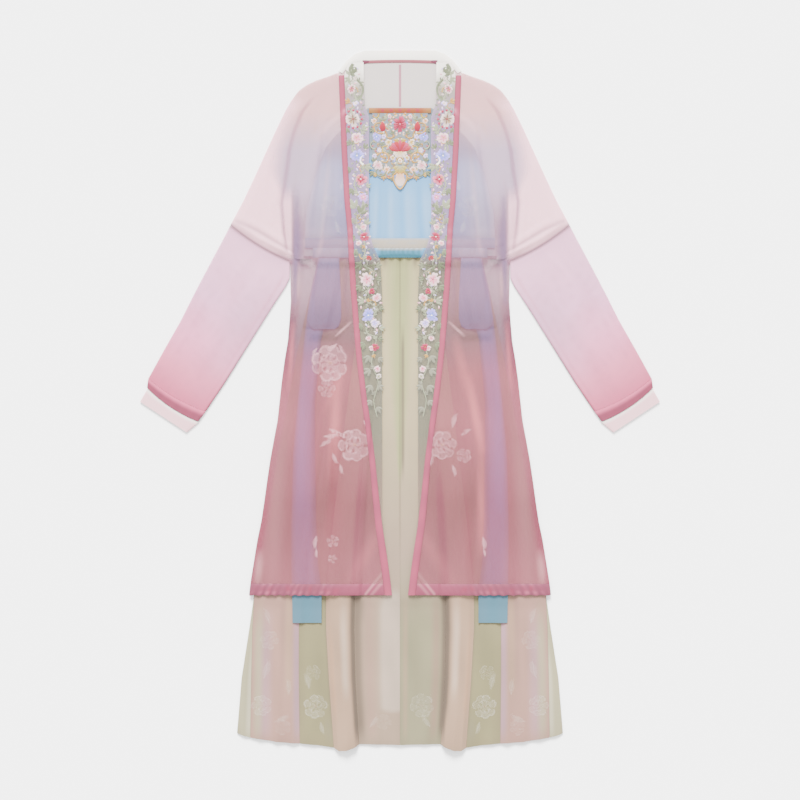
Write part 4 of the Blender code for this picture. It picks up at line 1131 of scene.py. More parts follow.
def sleeve_paint(t, part, x, y):
    """Colour and cover of the sleeve at a share t along it and a share part across it."""
    tint = stops(t, SLEEVE_COLOURS)
    under = 1 - part
    # Painted shade along the folded edges, with more cover where the cloth doubles there
    rim = 0.75 * bump(under, 0.04) * ease((t - 0.3) / 0.5)
    rim = rim + 0.3 * bump(under, 0.03) + 0.12 * bump(part, 0.03)
    tint = mix(tint, colour("deep_rose_shade", x.shape), rim)
    # Painted shade of the crease at the arm seam, where the seam allowances also show
    start = ease(1 - t / 0.07)
    tint = mix(tint, colour("crease", x.shape), 0.9 * start)
    # Painted shade along a crease near the lower edge
    crease = 0.25 * bump(under - 0.09, 0.035) * ease((t - 0.15) / 0.2)
    tint = mix(tint, colour("sleeve_rose", x.shape), crease)
    shadow = 0.45 * ease((part - 0.35) / 0.5) * bump(t - 0.66, 0.34)
    tint = mix(tint, colour("sleeve_grey", x.shape), shadow)
    cloud = np.sin(x / 19 + 1.4 * np.sin(y / 43)) * np.sin(y / 31 + 1.2 * np.sin(x / 29))
    tint = mix(tint, colour("sleeve_rose", x.shape), 0.14 * np.maximum(0, cloud) * ease((t - 0.25) / 0.4))
    fine = np.sin(x / 5 + 1.6 * np.sin(y / 13)) * np.sin(y / 6 + 1.4 * np.sin(x / 12))
    tint = mix(tint, colour("crease", x.shape), 0.09 * np.maximum(0, fine) * ease((t - 0.15) / 0.4))
    cover = 0.42 + 0.2 * ease((t - 0.4) / 0.5) + 0.3 * bump(under, 0.05) + 0.4 * start
    return tint, cover


def cuff_binding_paint(t, part, x, y):
    shade = 0.25 + 0.25 * ripple(part * 120, 47, 0.4)
    tint = mix(colour("cuff_binding", x.shape), colour("hem", x.shape), shade)
    tint = mix(tint, colour("sleeve_rose", x.shape), 0.9 * ease(1 - t / 0.55))
    return tint, 1.0 + 0 * x


def cuff_paint(t, part, x, y):
    tint = mix(colour("cuff", x.shape), colour("woven", x.shape), 0.12 * bump(part, 0.1))
    # Paler near the binding: a painted highlight
    return mix(tint, colour("collar", x.shape), 0.9 * ease(1 - t / 0.35)), 0.85 + 0 * x


def no_fold(k, share):
    return 0 * k * share


def ruched(k, share):
    """Small regular gathers across a tube."""
    return 0.3 * ripple(share * 120, 16, 1.2) + 0 * k


def sleeve(side):
    return flat_tube("sleeve_shell_" + label(side), side, SLEEVE_RINGS, 130, SLEEVE_HEIGHT - TUBE_INSET,
                     sleeve_fold, sleeve_paint, SLEEVE_SILK, SLEEVE_SAGS, across=40)


def cuff_binding(side):
    sags = (SLEEVE_SAGS[-1], SLEEVE_SAGS[-1])
    return flat_tube("cuff_binding_shell_" + label(side), side, CUFF_BINDING_RINGS, 8,
                     CUFF_BINDING_HEIGHT - TUBE_INSET, ruched, cuff_binding_paint, SATIN, sags, across=70)


def cuff(side):
    return flat_tube("cuff_shell_" + label(side), side, CUFF_RINGS, 12, CUFF_HEIGHT - TUBE_INSET, no_fold,
                     cuff_paint, SLEEVE_SILK, (SLEEVE_SAGS[-1], 0.0))


# The bodice ---------------------------------------------------------------------------------------


def bodice_front():
    y = np.linspace(WAIST_SEAM + SEAM, BODICE_TOP, 66)[:, None]
    half = column(BODICE_SIDE, y)
    s = np.linspace(-1, 1, 200)[None, :]
    x, y = s * half, y + 0 * s
    share = np.abs(s) + 0 * x
    wander = x * (0.8 + 0.2 * ease((y - 261) / 150)) + 2.0 * np.sin(y / 47 + x / 40)
    wave = 0.75 * ripple(wander, 34, 0.8) + 0.25 * ripple(wander, 13, 2.2)
    height = gather_height(share, y) * wave * (1 - 0.6 * ease((np.abs(x) - 66) / 20))
    low = dress_base(y) + FRONT_LIFT * ease((1 - share) / 0.06) + height + INSET
    # Painted highlight on the crests of the gathers in the front opening
    open_front = ease((415 - y) / 60) * ease((70 - np.abs(x)) / 12)
    tint = mix(colour("blue", x.shape), colour("white", x.shape), 0.12 * wave * open_front)
    side_cover = ease((np.abs(x) - 0.62 * half) / 40) * ease((470 - y) / 60)
    tint = mix(tint, colour("white", x.shape), 0.25 * side_cover)
    tint = mix(tint, colour("blush", x.shape), 0.45 * ease((np.abs(x) - 80) / 14) * ease((312 - y) / 26))
    tint = mix(tint, colour("shoulder", x.shape), 0.25 * ease((share - 0.93) / 0.07))
    beside = ease((np.abs(x) - 44) / 6) * ease((y - 425) / 40)
    tint = mix(tint, colour("ground", x.shape), 0.7 * beside)
    return shell("bodice_front_shell", x, y, low, CLOTH, tint, 1.0, SILK)


def bodice_back():
    y = np.linspace(WAIST_SEAM + SEAM, BODICE_TOP, 24)[:, None]
    s = np.linspace(-1, 1, 40)[None, :]
    x, y = s * column(BODICE_SIDE, y), y + 0 * s
    return shell("bodice_back_shell", x, y, bed(y) + INSET, CLOTH, colour("blue", x.shape), 1.0, SILK)


# The blocks woven into the top band
BLOCK_PERIOD, BLOCK_PHASE = 16.0, 1.57


def top_band():
    y = np.linspace(BODICE_TOP_BAND, BODICE_TOP, 7)[:, None]
    x = np.linspace(-TOP_BAND_HALF, TOP_BAND_HALF, 120)[None, :]
    t = (y - BODICE_TOP_BAND) / (BODICE_TOP - BODICE_TOP_BAND)
    low = dress_base(y) + FRONT_LIFT + WALL + SEAM + 0 * x
    block = ease((np.sin(TAU * x / BLOCK_PERIOD + BLOCK_PHASE) - 0.2) / 0.4) * bump(t - 0.5, 0.5)
    middle = 0.9 * ease((48 - np.abs(x)) / 10) + 0 * y
    tint = mix(colour("gold", low.shape), colour("amber", low.shape), middle)
    tint = mix(tint, colour("crimson", low.shape), block * ease((50 - np.abs(x)) / 10))
    high = 1.2 + 0.6 * (1 - (2 * t - 1) ** 2)
    return shell("top_band_shell", x + 0 * y, y + 0 * x, low, high, tint, 1.0, SATIN)


def yoke():
    """Ground of the yoke, from the top down to its scalloped edge."""
    xs = np.linspace(-YOKE_HALF, YOKE_HALF, 61)
    scallop = sorted([(x, y) for x, y in YOKE_EDGE[2:]])
    lower = np.interp(np.abs(xs), [p[0] for p in scallop], [p[1] for p in scallop])[None, :]
    t = np.linspace(0, 1, 40)[:, None]
    y = lower + t * (YOKE_TOP - lower)
    x = xs[None, :] + 0 * y
    tint = mix(colour("ground", x.shape), colour("blue", x.shape), 0.25 + 0.35 * ease((427 - y) / 20))
    return shell("yoke_shell", x, y, bodice_surface(x, y) + SEAM, 0.8, tint, 1.0, SILK)


def waistband():
    y = np.linspace(WAIST_TIE_TOP + SEAM, WAISTBAND_TOP, 8)[:, None]
    x = np.linspace(-WAISTBAND_HALF, WAISTBAND_HALF, 200)[None, :]
    t = (y - WAIST_TIE_TOP) / (WAISTBAND_TOP - WAIST_TIE_TOP)
    x, y = x + 0 * y, y + 0 * x
    puff = 0.7 * (1 - (2 * t - 1) ** 2) * (0.5 + 0.5 * ripple(x, 13, 0.3))
    under = mix(colour("blue", x.shape), colour("blush", x.shape), 0.42)
    tint = mix(colour("waist", x.shape), under, ease((np.abs(x) - 62) / 12))
    blue = 0.5 * bump(t - 1.0, 0.25) + 0.25 * ripple(x, 41, 0.6) * bump(t - 0.5, 0.2)
    tint = mix(tint, colour("blue", x.shape), blue)
    return shell("waistband_shell", x, y, bodice_surface(x, y) + SEAM, 0.7 + puff, tint, 1.0, SILK)


WAIST_TIE_REST = 2.6


def waist_tie():
    y = np.linspace(WAIST_TIE_BOTTOM, WAIST_TIE_TOP, 16)[:, None]
    x = np.linspace(-WAIST_TIE_HALF, WAIST_TIE_HALF, 360)[None, :]
    t = (y - WAIST_TIE_BOTTOM) / (WAIST_TIE_TOP - WAIST_TIE_BOTTOM)
    x, y = x + 0 * y, y + 0 * x
    rest = dress_base(WAIST_TIE_BOTTOM) + FRONT_LIFT + WAIST_TIE_REST + WALL + SEAM
    wave = 0.6 * ripple(x + 3 * np.sin(t * 3), 8.6, 0.9) + 0.4 * ripple(x, 21, 0.4)
    # Painted highlight: paler blue on the ripples' crests and towards the top edge; paler blue beside the
    # opening too
    blue = 0.55 * wave * t + 0.6 * ease((np.abs(x) - 34) / 10)
    tint = mix(colour("tie", x.shape), colour("blue", x.shape), blue)
    opening = ease((46 - np.abs(x)) / 9)
    # Painted shade: deep teal along the bowed lower middle
    tint = mix(tint, colour("teal_shade", x.shape), 0.65 * bump(t - 0.25 + 0.2 * (x / 50) ** 2, 0.25) * opening)
    tint = mix(tint, colour("blush", x.shape), 0.34 * ease((np.abs(x) - 82) / 12))
    tint = mix(tint, colour("waist", x.shape), 0.6 * ease((t - 0.62) / 0.34) * opening)
    high = TIE_WALL + (0.5 + 0.8 * wave) * np.sqrt(np.maximum(0, 1 - (2 * t - 1) ** 2))
    return shell("waist_tie_shell", x, y, rest + 0 * x, high - 0.2, tint, 1.0, SATIN)


def tie_tail(side):
    y = np.linspace(TIE_TAIL[-1][0], TIE_TAIL[0][0], 170)[:, None]
    t = np.linspace(0, 1, 16)[None, :]
    inner, outer = column(TIE_TAIL, y, 1), column(TIE_TAIL, y, 2)
    x = side * (inner + t * (outer - inner))
    t, y = t + 0 * x, y + 0 * x
    low = skirt_surface(x, y) + TIE_GAP
    low += 0.35 * bump(t - 0.3 - 0.04 * np.sin(y / 60), 0.2) + 0.25 * bump(t - 0.72, 0.12)
    tint = mix(colour("ribbon", x.shape), colour("tie", x.shape), 0.25 * bump(t - 0.5, 0.4))
    tint = mix(tint, colour("lavender", x.shape), 0.45 * ease((y - COAT_HEM) / 30) * ease(t / 0.3))
    tint = mix(tint, colour("blush", x.shape), 0.5 * ease((y - COAT_HEM) / 30) * ease((t - 0.8) / 0.2))
    x, y, low, tint = turned(side, x, y, low, tint)
    return shell("tie_tail_shell_" + label(side), x, y, low, 0.7, tint, 1.0, SILK)


def tie_loop(side):
    y = np.linspace(TIE_LOOP[-1][0], TIE_LOOP[0][0], 50)[:, None]
    t = np.linspace(0, 1, 24)[None, :]
    inner, outer = column(TIE_LOOP, y, 1), column(TIE_LOOP, y, 2)
    x = side * (inner + t * (outer - inner))
    t, y = t + 0 * x, y + 0 * x
    on_tail = between(x, y, TIE_TAIL, 14)
    low = skirt_surface(x, y) + on_tail * (TIE_WALL + 1.1) + TIE_GAP
    down = (TIE_LOOP[0][0] - y) / (TIE_LOOP[0][0] - TIE_LOOP[-1][0])
    puff = np.sqrt(np.maximum(0.0, 1 - (2 * t - 1) ** 4)) * ease(down / 0.08) * ease((1 - down) / 0.08)
    rays = 0.8 * bump(t - 0.3 - 0.1 * down, 0.1) + 0.9 * bump(t - 0.62 + 0.12 * down, 0.12)
    tint = mix(colour("ribbon", x.shape), colour("lavender", x.shape), 0.25)
    x, y, low, tint, puff, rays = turned(side, x, y, low, tint, puff, rays)
    return shell("tie_loop_shell_" + label(side), x, y, low, 0.5 + (1.3 + rays) * puff, tint, 1.0, SILK)


# The skirt ----------------------------------------------------------------------------------------

PANEL_COLOURS = {
    # colour at the waist, at the coat's hem and at the hem
    ("centre", -1): ("skirt_top", "centre", "centre"),
    ("centre", 1): ("skirt_top", "centre", "pale_green"),
    ("cream", -1): ("skirt_top", "cream", "cream"),
    ("cream", 1): ("skirt_top", "cream", "cream"),
    ("green", -1): ("cream", "green", "green"),
    ("green", 1): ("cream", "green", "green"),
    ("blush", -1): ("cream", "blush", "blush"),
    ("blush", 1): ("cream", "blush", "blush"),
    ("side", -1): ("edge", "edge", "edge"),
    ("side", 1): ("edge", "edge", "edge"),
}


# Streaks on the skirt; the 'fold' ones are painted shade beside its pleats and folds
SKIRT_STREAKS = [
    # panel, side, share across, width as a share, from y, to y, colour, strength; side 0 for both
    ("centre", -1, 0.93, 0.17, -100, -640, "fold", 0.8),
    ("centre", -1, 0.98, 0.06, -100, -640, "fold", 0.6),
    ("centre", 1, 0.98, 0.12, -100, -640, "fold", 1.0),
    ("centre", -1, 0.68, 0.22, -300, -640, "blush", 0.5),
    ("centre", -1, 0.84, 0.12, -300, -420, "fold", 0.3),
    ("centre", 1, 0.12, 0.10, -330, -640, "cream", 0.5),
    ("centre", 1, 0.22, 0.09, -340, -560, "leaf", 0.22),
    ("centre", 1, 0.45, 0.34, -330, -640, "pale_green", 0.8),
    ("centre", 1, 0.80, 0.16, -330, -640, "rosy", 0.8),
    ("cream", -1, 0.05, 0.22, -100, -640, "fold", 1.0),
    ("cream", -1, 0.03, 0.13, -200, -640, "fold", 0.9),
    ("cream", 1, 0.05, 0.24, -100, -600, "fold", 1.0),
    ("cream", 1, 0.03, 0.15, -200, -640, "fold", 1.0),
    ("cream", 0, 0.38, 0.20, -340, -560, "white", 0.10),
    ("cream", 0, 0.85, 0.16, -380, -600, "peach", 0.10),
    ("green", 0, 0.0, 0.10, -100, -640, "fold", 0.25),
    ("green", 0, 0.5, 0.6, -385, -450, "leaf", 0.22),
    ("green", 0, 0.5, 0.9, -380, -640, "green_fold", 0.12),
    ("green", 0, 0.12, 0.2, -560, -640, "sky", 0.05),
    ("green", 0, 0.97, 0.34, -450, -640, "fold", 0.16),
    ("blush", 0, 0.05, 0.12, -340, -640, "lavender", 0.12),
    ("blush", 0, 0.02, 0.16, -410, -640, "fold", 0.13),
    ("blush", 0, 0.22, 0.14, -300, -560, "cream", 0.7),
    ("blush", 0, 0.34, 0.10, -300, -540, "fold", 0.14),
    ("blush", 0, 0.72, 0.22, -360, -640, "lavender", 0.08),
    ("blush", 0, 0.86, 0.16, -350, -640, "edge", 0.7),
    ("blush", 0, 0.30, 0.30, -560, -640, "rose", 0.05),
    ("side", 0, 0.15, 0.35, -420, -640, "white", 0.10),
    ("side", 0, 0.9, 0.25, -560, -640, "fold", 0.3),
]


# Share of red, green and blue that is left below the coat's hem
SKIRT_WARMTH = (0.985, 0.955, 0.925)


# Level, how far the green reaches from the centre of the skirt
GREEN_REACH = [(261, 40), (200, 34), (60, 24), (-60, 12), (-150, 4)]


def skirt_paint(panel, side, s, y):
    """Colour of a skirt panel at a share s across it and a level y."""
    names = PANEL_COLOURS[(panel, side)]
    tint = stops(y, [(100, names[0]), (-280, names[1]), (-420, names[2])])
    if panel == "centre":
        place_x = s * column(SKIRT_SEAMS, y, 1)
        green = ease(1.1 - place_x / column(GREEN_REACH, y)) * ease((y + 170) / 60)
        tint = mix(tint, colour("skirt_green", y.shape), 0.85 * green)
        # Painted shade: a dark line in the centre pleat, a fainter one down the middle, and shade under the
        # tie
        line = bump(place_x - (5 if side > 0 else -3), 5) * ease((y + 160) / 60) * ease((150 - y) / 60)
        tint = mix(tint, colour("green_fold" if side < 0 else "fold", y.shape), 0.8 * line)
        tint = mix(tint, colour("fold", y.shape), 0.3 * bump(place_x, 3) * ease((y + 300) / 100))
        under_tie = ease((y - 236) / 24) * (0.35 + 0.65 * bump(np.abs(place_x) - 27, 7))
        tint = mix(tint, colour("fold", y.shape), 0.7 * under_tie)
        if side < 0:
            lining = bump(s - 0.16, 0.42) * ease((-330 - y) / 60) * ease((y + 576) / 14)
            tint = mix(tint, colour("white", y.shape), 0.10 * ease(lining * 1.8))
    for name, who, at, width, top, low, tone, strength in SKIRT_STREAKS:
        if name == panel and who in (0, side):
            here = bump(s - at, width) * ease((top - y) / 90) * ease((y - low) / 50) * strength
            tint = mix(tint, colour(tone, y.shape), here)
    # Shade towards the hem, and faint clouds
    rim = np.clip((y - along(SKIRT_HEM, column_x(panel, s, HEM_LEVEL))) / 26, 0.0, 1.0)
    tint = mix(tint, colour("fold", y.shape), 0.16 * (1 - rim) ** 2)
    across = column_x(panel, s, y) * side
    cloud = np.sin(across / 11 + 1.7 * np.sin(y / 71)) * np.sin(y / 53 + 1.3 * np.sin(across / 19))
    cloudy = 1 + 0.07 * cloud * ease((-200 - y) / 150)
    warm = ease((-330 - y) / 50)[..., None] * (1 - np.array(SKIRT_WARMTH))
    return tint * cloudy[..., None] * (1 - warm)


def skirt_panel(panel, side):
    """One of the skirt's front panels; the side one only shows below the coat's hem."""
    s = np.linspace(0, 1, 34)[None, :]
    top = COAT_HEM - 12 if panel == "side" else WAIST_SEAM - SEAM
    hem = along(SKIRT_HEM, column_x(panel, s, HEM_LEVEL))
    t = np.linspace(0, 1, 72 if panel == "side" else 190)[:, None]
    y = hem + t * (top - hem)
    x = column_x(panel, s + 0 * y, y)
    x = x + SEAM / 2 * (1 - s) - (SEAM / 2 * s if panel != "side" else 0)
    fold = skirt_fold(x, y)
    inset = FRONT_LIFT * (1 - s) if panel == "side" else FRONT_LIFT
    low = dress_base(y) + inset + fold + INSET - 0.05
    seed = 0.5 * PANELS.index(panel) + side
    low += 0.3 * ripple(x + 3 * np.sin(y / 90), 17, seed) * ease((-150 - y) / 200)
    tint = skirt_paint(panel, side, s + 0 * y, y)
    x = x * side
    x, y, low, tint = turned(side, x, y, low, tint)
    return shell("skirt_%s_shell_%s" % (panel, label(side)), x, y, low, CLOTH, tint, 1.0, SKIRT_SILK)


def skirt_back():
    s = np.linspace(-1, 1, 61)[None, :]
    hem = along(SKIRT_HEM, s * SKIRT_HALF) + 1.0
    t = np.linspace(0, 1, 80)[:, None]
    y = hem + t * (WAIST_SEAM - SEAM - hem)
    x = s * column(SKIRT_SEAMS, y, 5)
    return shell("skirt_back_shell", x, y, bed(y) + INSET, CLOTH, colour("edge", x.shape), 1.0, SKIRT_SILK)


# Embroidery ---------------------------------------------------------------------------------------

BAND_FLOWERS = [
    # x, y, size, petals, turn, outer, inner, core
    (82, 592, 11, 5, 0, "sage", "petal", "straw"),
    (89, 571, 19, 5, 10, "petal", "rose", "straw"),
    (82, 545, 14, 5, 40, "lavender", "petal", "straw"),
    (86, 516, 30, 6, 20, "petal", "umber", "crimson"),
    (80, 482, 25, 5, 60, "petal", "pink", "straw"),
    (79, 449, 28, 6, 0, "lavender", "sky", "white"),
    (72, 406, 24, 4, 0, "pink", "crimson", "white"),
    (72, 406, 14, 4, 45, "crimson", "rose", "white"),
    (67, 373, 20, 5, 30, "lavender", "pink", "white"),
    (68, 318, 14, 5, 15, "petal", "pink", "straw"),
    (66, 300, 20, 5, 50, "rose", "crimson", "white"),
    (76, 288, 12, 5, 50, "petal", "pink", "straw"),
    (57, 261, 11, 4, 45, "red", "crimson", "straw"),
    (60, 222, 26, 5, 70, "petal", "pink", "rose"),
    (52, 200, 13, 4, 20, "rose", "crimson", "straw"),
    (43, 188, 18, 5, 40, "petal", "pink", "straw"),
    (58, 156, 26, 6, 15, "lavender", "sky", "white"),
    (47, 142, 19, 5, 30, "petal", "lavender", "straw"),
    (57, 114, 12, 4, 0, "petal", "pink", "straw"),
    (46, 98, 16, 5, 50, "rose", "crimson", "straw"),
    (52, 96, 10, 5, 20, "petal", "pink", "straw"),
    (41, 58, 13, 5, 20, "petal", "pink", "rose"),
    (39, 44, 11, 5, 50, "petal", "sage", "straw"),
]
# Paths of the stems, x and y
NECK_STEM = [(86, 618), (92, 606), (80, 591), (69, 577), (70, 560), (80, 545)]
BAND_STEM = [
    (86, 612), (94, 590), (80, 548), (94, 520), (70, 492), (88, 462), (66, 428), (84, 396), (64, 356),
    (80, 330), (64, 284), (66, 250), (48, 232), (64, 188), (44, 168), (62, 128), (44, 112), (52, 70),
    (40, 34), (48, 0), (42, -30),
]
BAND_LEAVES = [
    # x, y, turn, size, colour
    (84, 600, 70, 12, "leaf"), (92, 592, -40, 10, "sage"), (80, 556, 200, 11, "leaf"),
    (92, 548, 20, 9, "gold_thread"), (96, 500, -70, 10, "leaf"), (70, 498, 160, 11, "sage"),
    (90, 470, 30, 10, "leaf"), (66, 462, 130, 9, "leaf"), (64, 430, 200, 12, "sage"),
    (90, 426, -30, 10, "leaf"), (86, 388, -50, 12, "leaf"), (62, 392, 150, 8, "sage"),
    (82, 352, 60, 16, "sage"), (74, 342, 120, 16, "leaf"), (84, 334, -60, 12, "drab"),
    (82, 300, -20, 12, "leaf"), (62, 322, 110, 10, "sage"), (80, 276, -60, 12, "leaf"),
    (70, 250, -30, 12, "leaf"), (44, 246, 170, 9, "sage"), (72, 210, -40, 11, "leaf"),
    (44, 222, 160, 9, "leaf"), (66, 180, 20, 11, "sage"), (38, 170, 200, 8, "leaf"),
    (70, 140, -50, 11, "leaf"), (38, 132, 170, 9, "sage"), (64, 104, -30, 12, "leaf"),
    (40, 114, 190, 8, "leaf"), (56, 82, -60, 12, "drab"), (40, 78, 220, 9, "drab"),
    (54, 56, -30, 12, "drab"), (52, 28, -60, 12, "drab"), (40, 28, 230, 10, "drab"),
    (52, 0, -50, 10, "drab"), (42, -12, 240, 10, "drab"),
]


def smooth_path(points, count=8):
    """Points of a smooth curve through the given ones (Catmull-Rom)."""
    out = []
    for k in range(len(points) - 1):
        p = [points[max(0, min(len(points) - 1, k + d))] for d in (-1, 0, 1, 2)]
        for i in range(count):
            t = i / count
            w = (-t + 2 * t * t - t**3, 2 - 5 * t * t + 3 * t**3, t + 4 * t * t - 3 * t**3, t**3 - t * t)
            out.append(tuple(0.5 * sum(a * q[c] for a, q in zip(w, p)) for c in (0, 1)))
    return out + [points[-1]]


def band_surface(x, y):
    """Where the band's stitches start."""
    return over(x, y) + INSET + CLOTH - 0.05


def scatter(levels, gap, inside):
    """Places for small stitches in offset rows: x, y, turn and a running number.

    inside gives the two ends of the row at a level.
    """
    for i, y in enumerate(levels):
        near, far = inside(y)
        for j in range(int((far - near) / gap)):
            k = 5 * i + 3 * j
            turn = (67 * i + 131 * j) % 360
            yield near + gap * (j + 0.3 + 0.4 * (i % 2)), y + 1.5 * math.sin(2.3 * k), turn, k


def band_inside(y):
    """Ends of a row of stitches on the front band, with a margin."""
    inner, outer = band_edges(np.array([y]))
    margin = 3
    return float(inner[0]) + margin, float(outer[0]) - margin


def yoke_inside(y):
    """Ends of a row of stitches on the yoke's right half, drawn in below where it starts to taper."""
    taper_top, half = 425, YOKE_HALF - 2
    return 2.0, half if y > taper_top else half - 1.3 * (taper_top - y)


# Colours of the small stitches, at the base and at the tip
BAND_FILL = [
    ("leaf", "drab"), ("sage", "petal"), ("drab", "sage"), ("petal", "lavender"), ("leaf", "sage"),
    ("petal", "pink"), ("drab", "drab"),
]
YOKE_FILL = [
    ("leaf", "umber"), ("gold_thread", "umber"), ("petal", "peach"), ("umber", "leaf"),
    ("leaf", "gold_thread"), ("petal", "straw"), ("umber", "umber"), ("gold_thread", "amber"),
    ("sky", "lavender"), ("rose", "umber"),
]


# Ring of small petals round the large flower near the top of the band
RING_X, RING_Y, RING_RADIUS = 86, 516, 13.5


def band_stitches():
    """The band's stems, leaves, small stitches and flowers, for the right side."""
    work = Stitches()
    work.cord(smooth_path(BAND_STEM), 3.2, 0.4, "sage", 1.6)
    for k, (x, y) in enumerate(smooth_path(BAND_STEM, 2)[1:-12]):
        turn = 90 * (k % 4) + 20
        work.cord(arc(x, y, 8 + k % 3, turn, turn + (200 if k % 2 else -200), 12, 3), 2.4, 0.35,
                  ("sage", "leaf", "gold_thread")[k % 3], 1.2)
    for x, y, turn, size, tint in BAND_LEAVES:
        work.spray(x, y, turn, 1.35 * size, tint)
    for k, (x, y) in enumerate(smooth_path(BAND_STEM, 3)[2:-4:2]):
        tone = ("sage", "leaf", "drab", "sage", "gold_thread")[k % 5] if y > 80 else "drab"
        work.spray(x, y, 50 + 173 * k, 8.5, tone)
    for x, y, turn, k in scatter(np.arange(120, 610, 7.5), 7.5, band_inside):
        tones = BAND_FILL[k % len(BAND_FILL)]
        work.petal(x, y, turn, 6.5, 3.4, 0.3, *tones, -1, count=8)
    work.cord(smooth_path(NECK_STEM), 6.4, 0.5, "leaf", 3.0)
    work.cord(arc(84, 606, 9, -60, 260, 16, 3), 1.8, 0.7, "leaf")
    work.cord(arc(92, 540, 7, 60, 300, 14, 3), 1.5, 0.7, "gold_thread")
    work.cord(arc(64, 441, 9, -70, 70, 10), 4.0, 0.8, "white", 1.2)
    work.cord(arc(74, 338, 8, 200, 420, 14, 3), 1.6, 0.7, "gold_thread")
    for x, y, size, petals, turn, outer, inner, core in BAND_FLOWERS:
        work.flower(x, y, size, petals, turn, outer, inner, core)
    for k, (x, y) in enumerate(arc(RING_X, RING_Y, RING_RADIUS, 0, 330, 11)):
        work.petal(x, y, 30 * k, 5, 6.5, 0.7, "crimson", "rose")
    return work


def yoke_surface(x, y):
    """Where the yoke's stitches start."""
    return bodice_surface(x, y) + SEAM + 0.75


YOKE_CORDS = [
    # x, y, radius, from angle, to angle, end radius, width, colour
    (38, 502, 13, -120, 130, 6, 3.8, "gold_thread"), (20, 489, 10, 190, 400, 4, 3.2, "gold_thread"),
    (30, 443, 14, 30, 300, 5, 4.0, "gold_thread"), (14, 432, 11, 120, 360, 4, 3.4, "sage"),
    (37, 421, 12, 180, 410, 5, 3.8, "leaf"), (47, 470, 9, -100, 140, 4, 2.8, "sage"),
    (8, 470, 8, 60, 250, 4, 2.6, "gold_thread"), (20, 414, 8, 180, 380, 4, 3.2, "gold_thread"),
    (46, 524, 7, 170, 350, 3, 2.4, "straw"), (26, 462, 8, -60, 160, 3, 2.6, "straw"),
]
YOKE_FLOWERS = [
    # x, y, size, petals, turn, outer, inner, core
    (43, 484, 19, 5, 10, "lavender", "sky", "white"), (21, 474, 14, 5, 40, "petal", "straw", "peach"),
    (38, 459, 13, 5, 0, "sky", "petal", "straw"), (47, 513, 12, 5, 20, "petal", "peach", "straw"),
    (40, 431, 21, 6, 0, "petal", "petal_pink", "pink"),
    (24, 424, 14, 5, 30, "petal", "peach", "gold_thread"),
    (13, 445, 11, 5, 20, "petal", "straw", "gold_thread"),
    (47, 449, 10, 5, 50, "petal", "lavender", "straw"), (19, 521, 9, 5, 10, "petal", "pink", "straw"),
    (30, 484, 10, 5, 0, "petal", "lavender", "straw"), (46, 414, 9, 5, 10, "straw", "gold_thread", "white"),
]
YOKE_LEAVES = [
    # x, y, turn, size, colour
    (14, 452, 60, 14, "leaf"), (27, 456, 20, 12, "sage"), (47, 438, 80, 11, "leaf"),
    (48, 420, -50, 12, "leaf"), (30, 413, -90, 10, "gold_thread"), (10, 422, -60, 12, "leaf"),
    (12, 488, 60, 11, "leaf"), (47, 498, -30, 10, "leaf"), (24, 519, 60, 9, "sage"),
    (10, 523, 110, 7, "gold_thread"), (24, 500, 160, 9, "sage"), (36, 472, 200, 10, "leaf"),
    (8, 480, 240, 9, "straw"), (34, 444, 120, 10, "gold_thread"), (18, 408, 200, 8, "leaf"),
]


# The rosette, the bud beside it, the lotus under it and the drop that hangs from that
ROSETTE_LEVEL, LOTUS_LEVEL = 507, 440
BUD = (32, 513)
DROP_RIM = [
    (-12, 414), (-11, 402), (0, 388), (11, 402), (12, 414), (5, 419), (0, 414), (-5, 419), (-12, 414),
]


def aim(turn, side):
    """Direction of a stitch, mirrored on the left."""
    return turn if side > 0 else 180 - turn


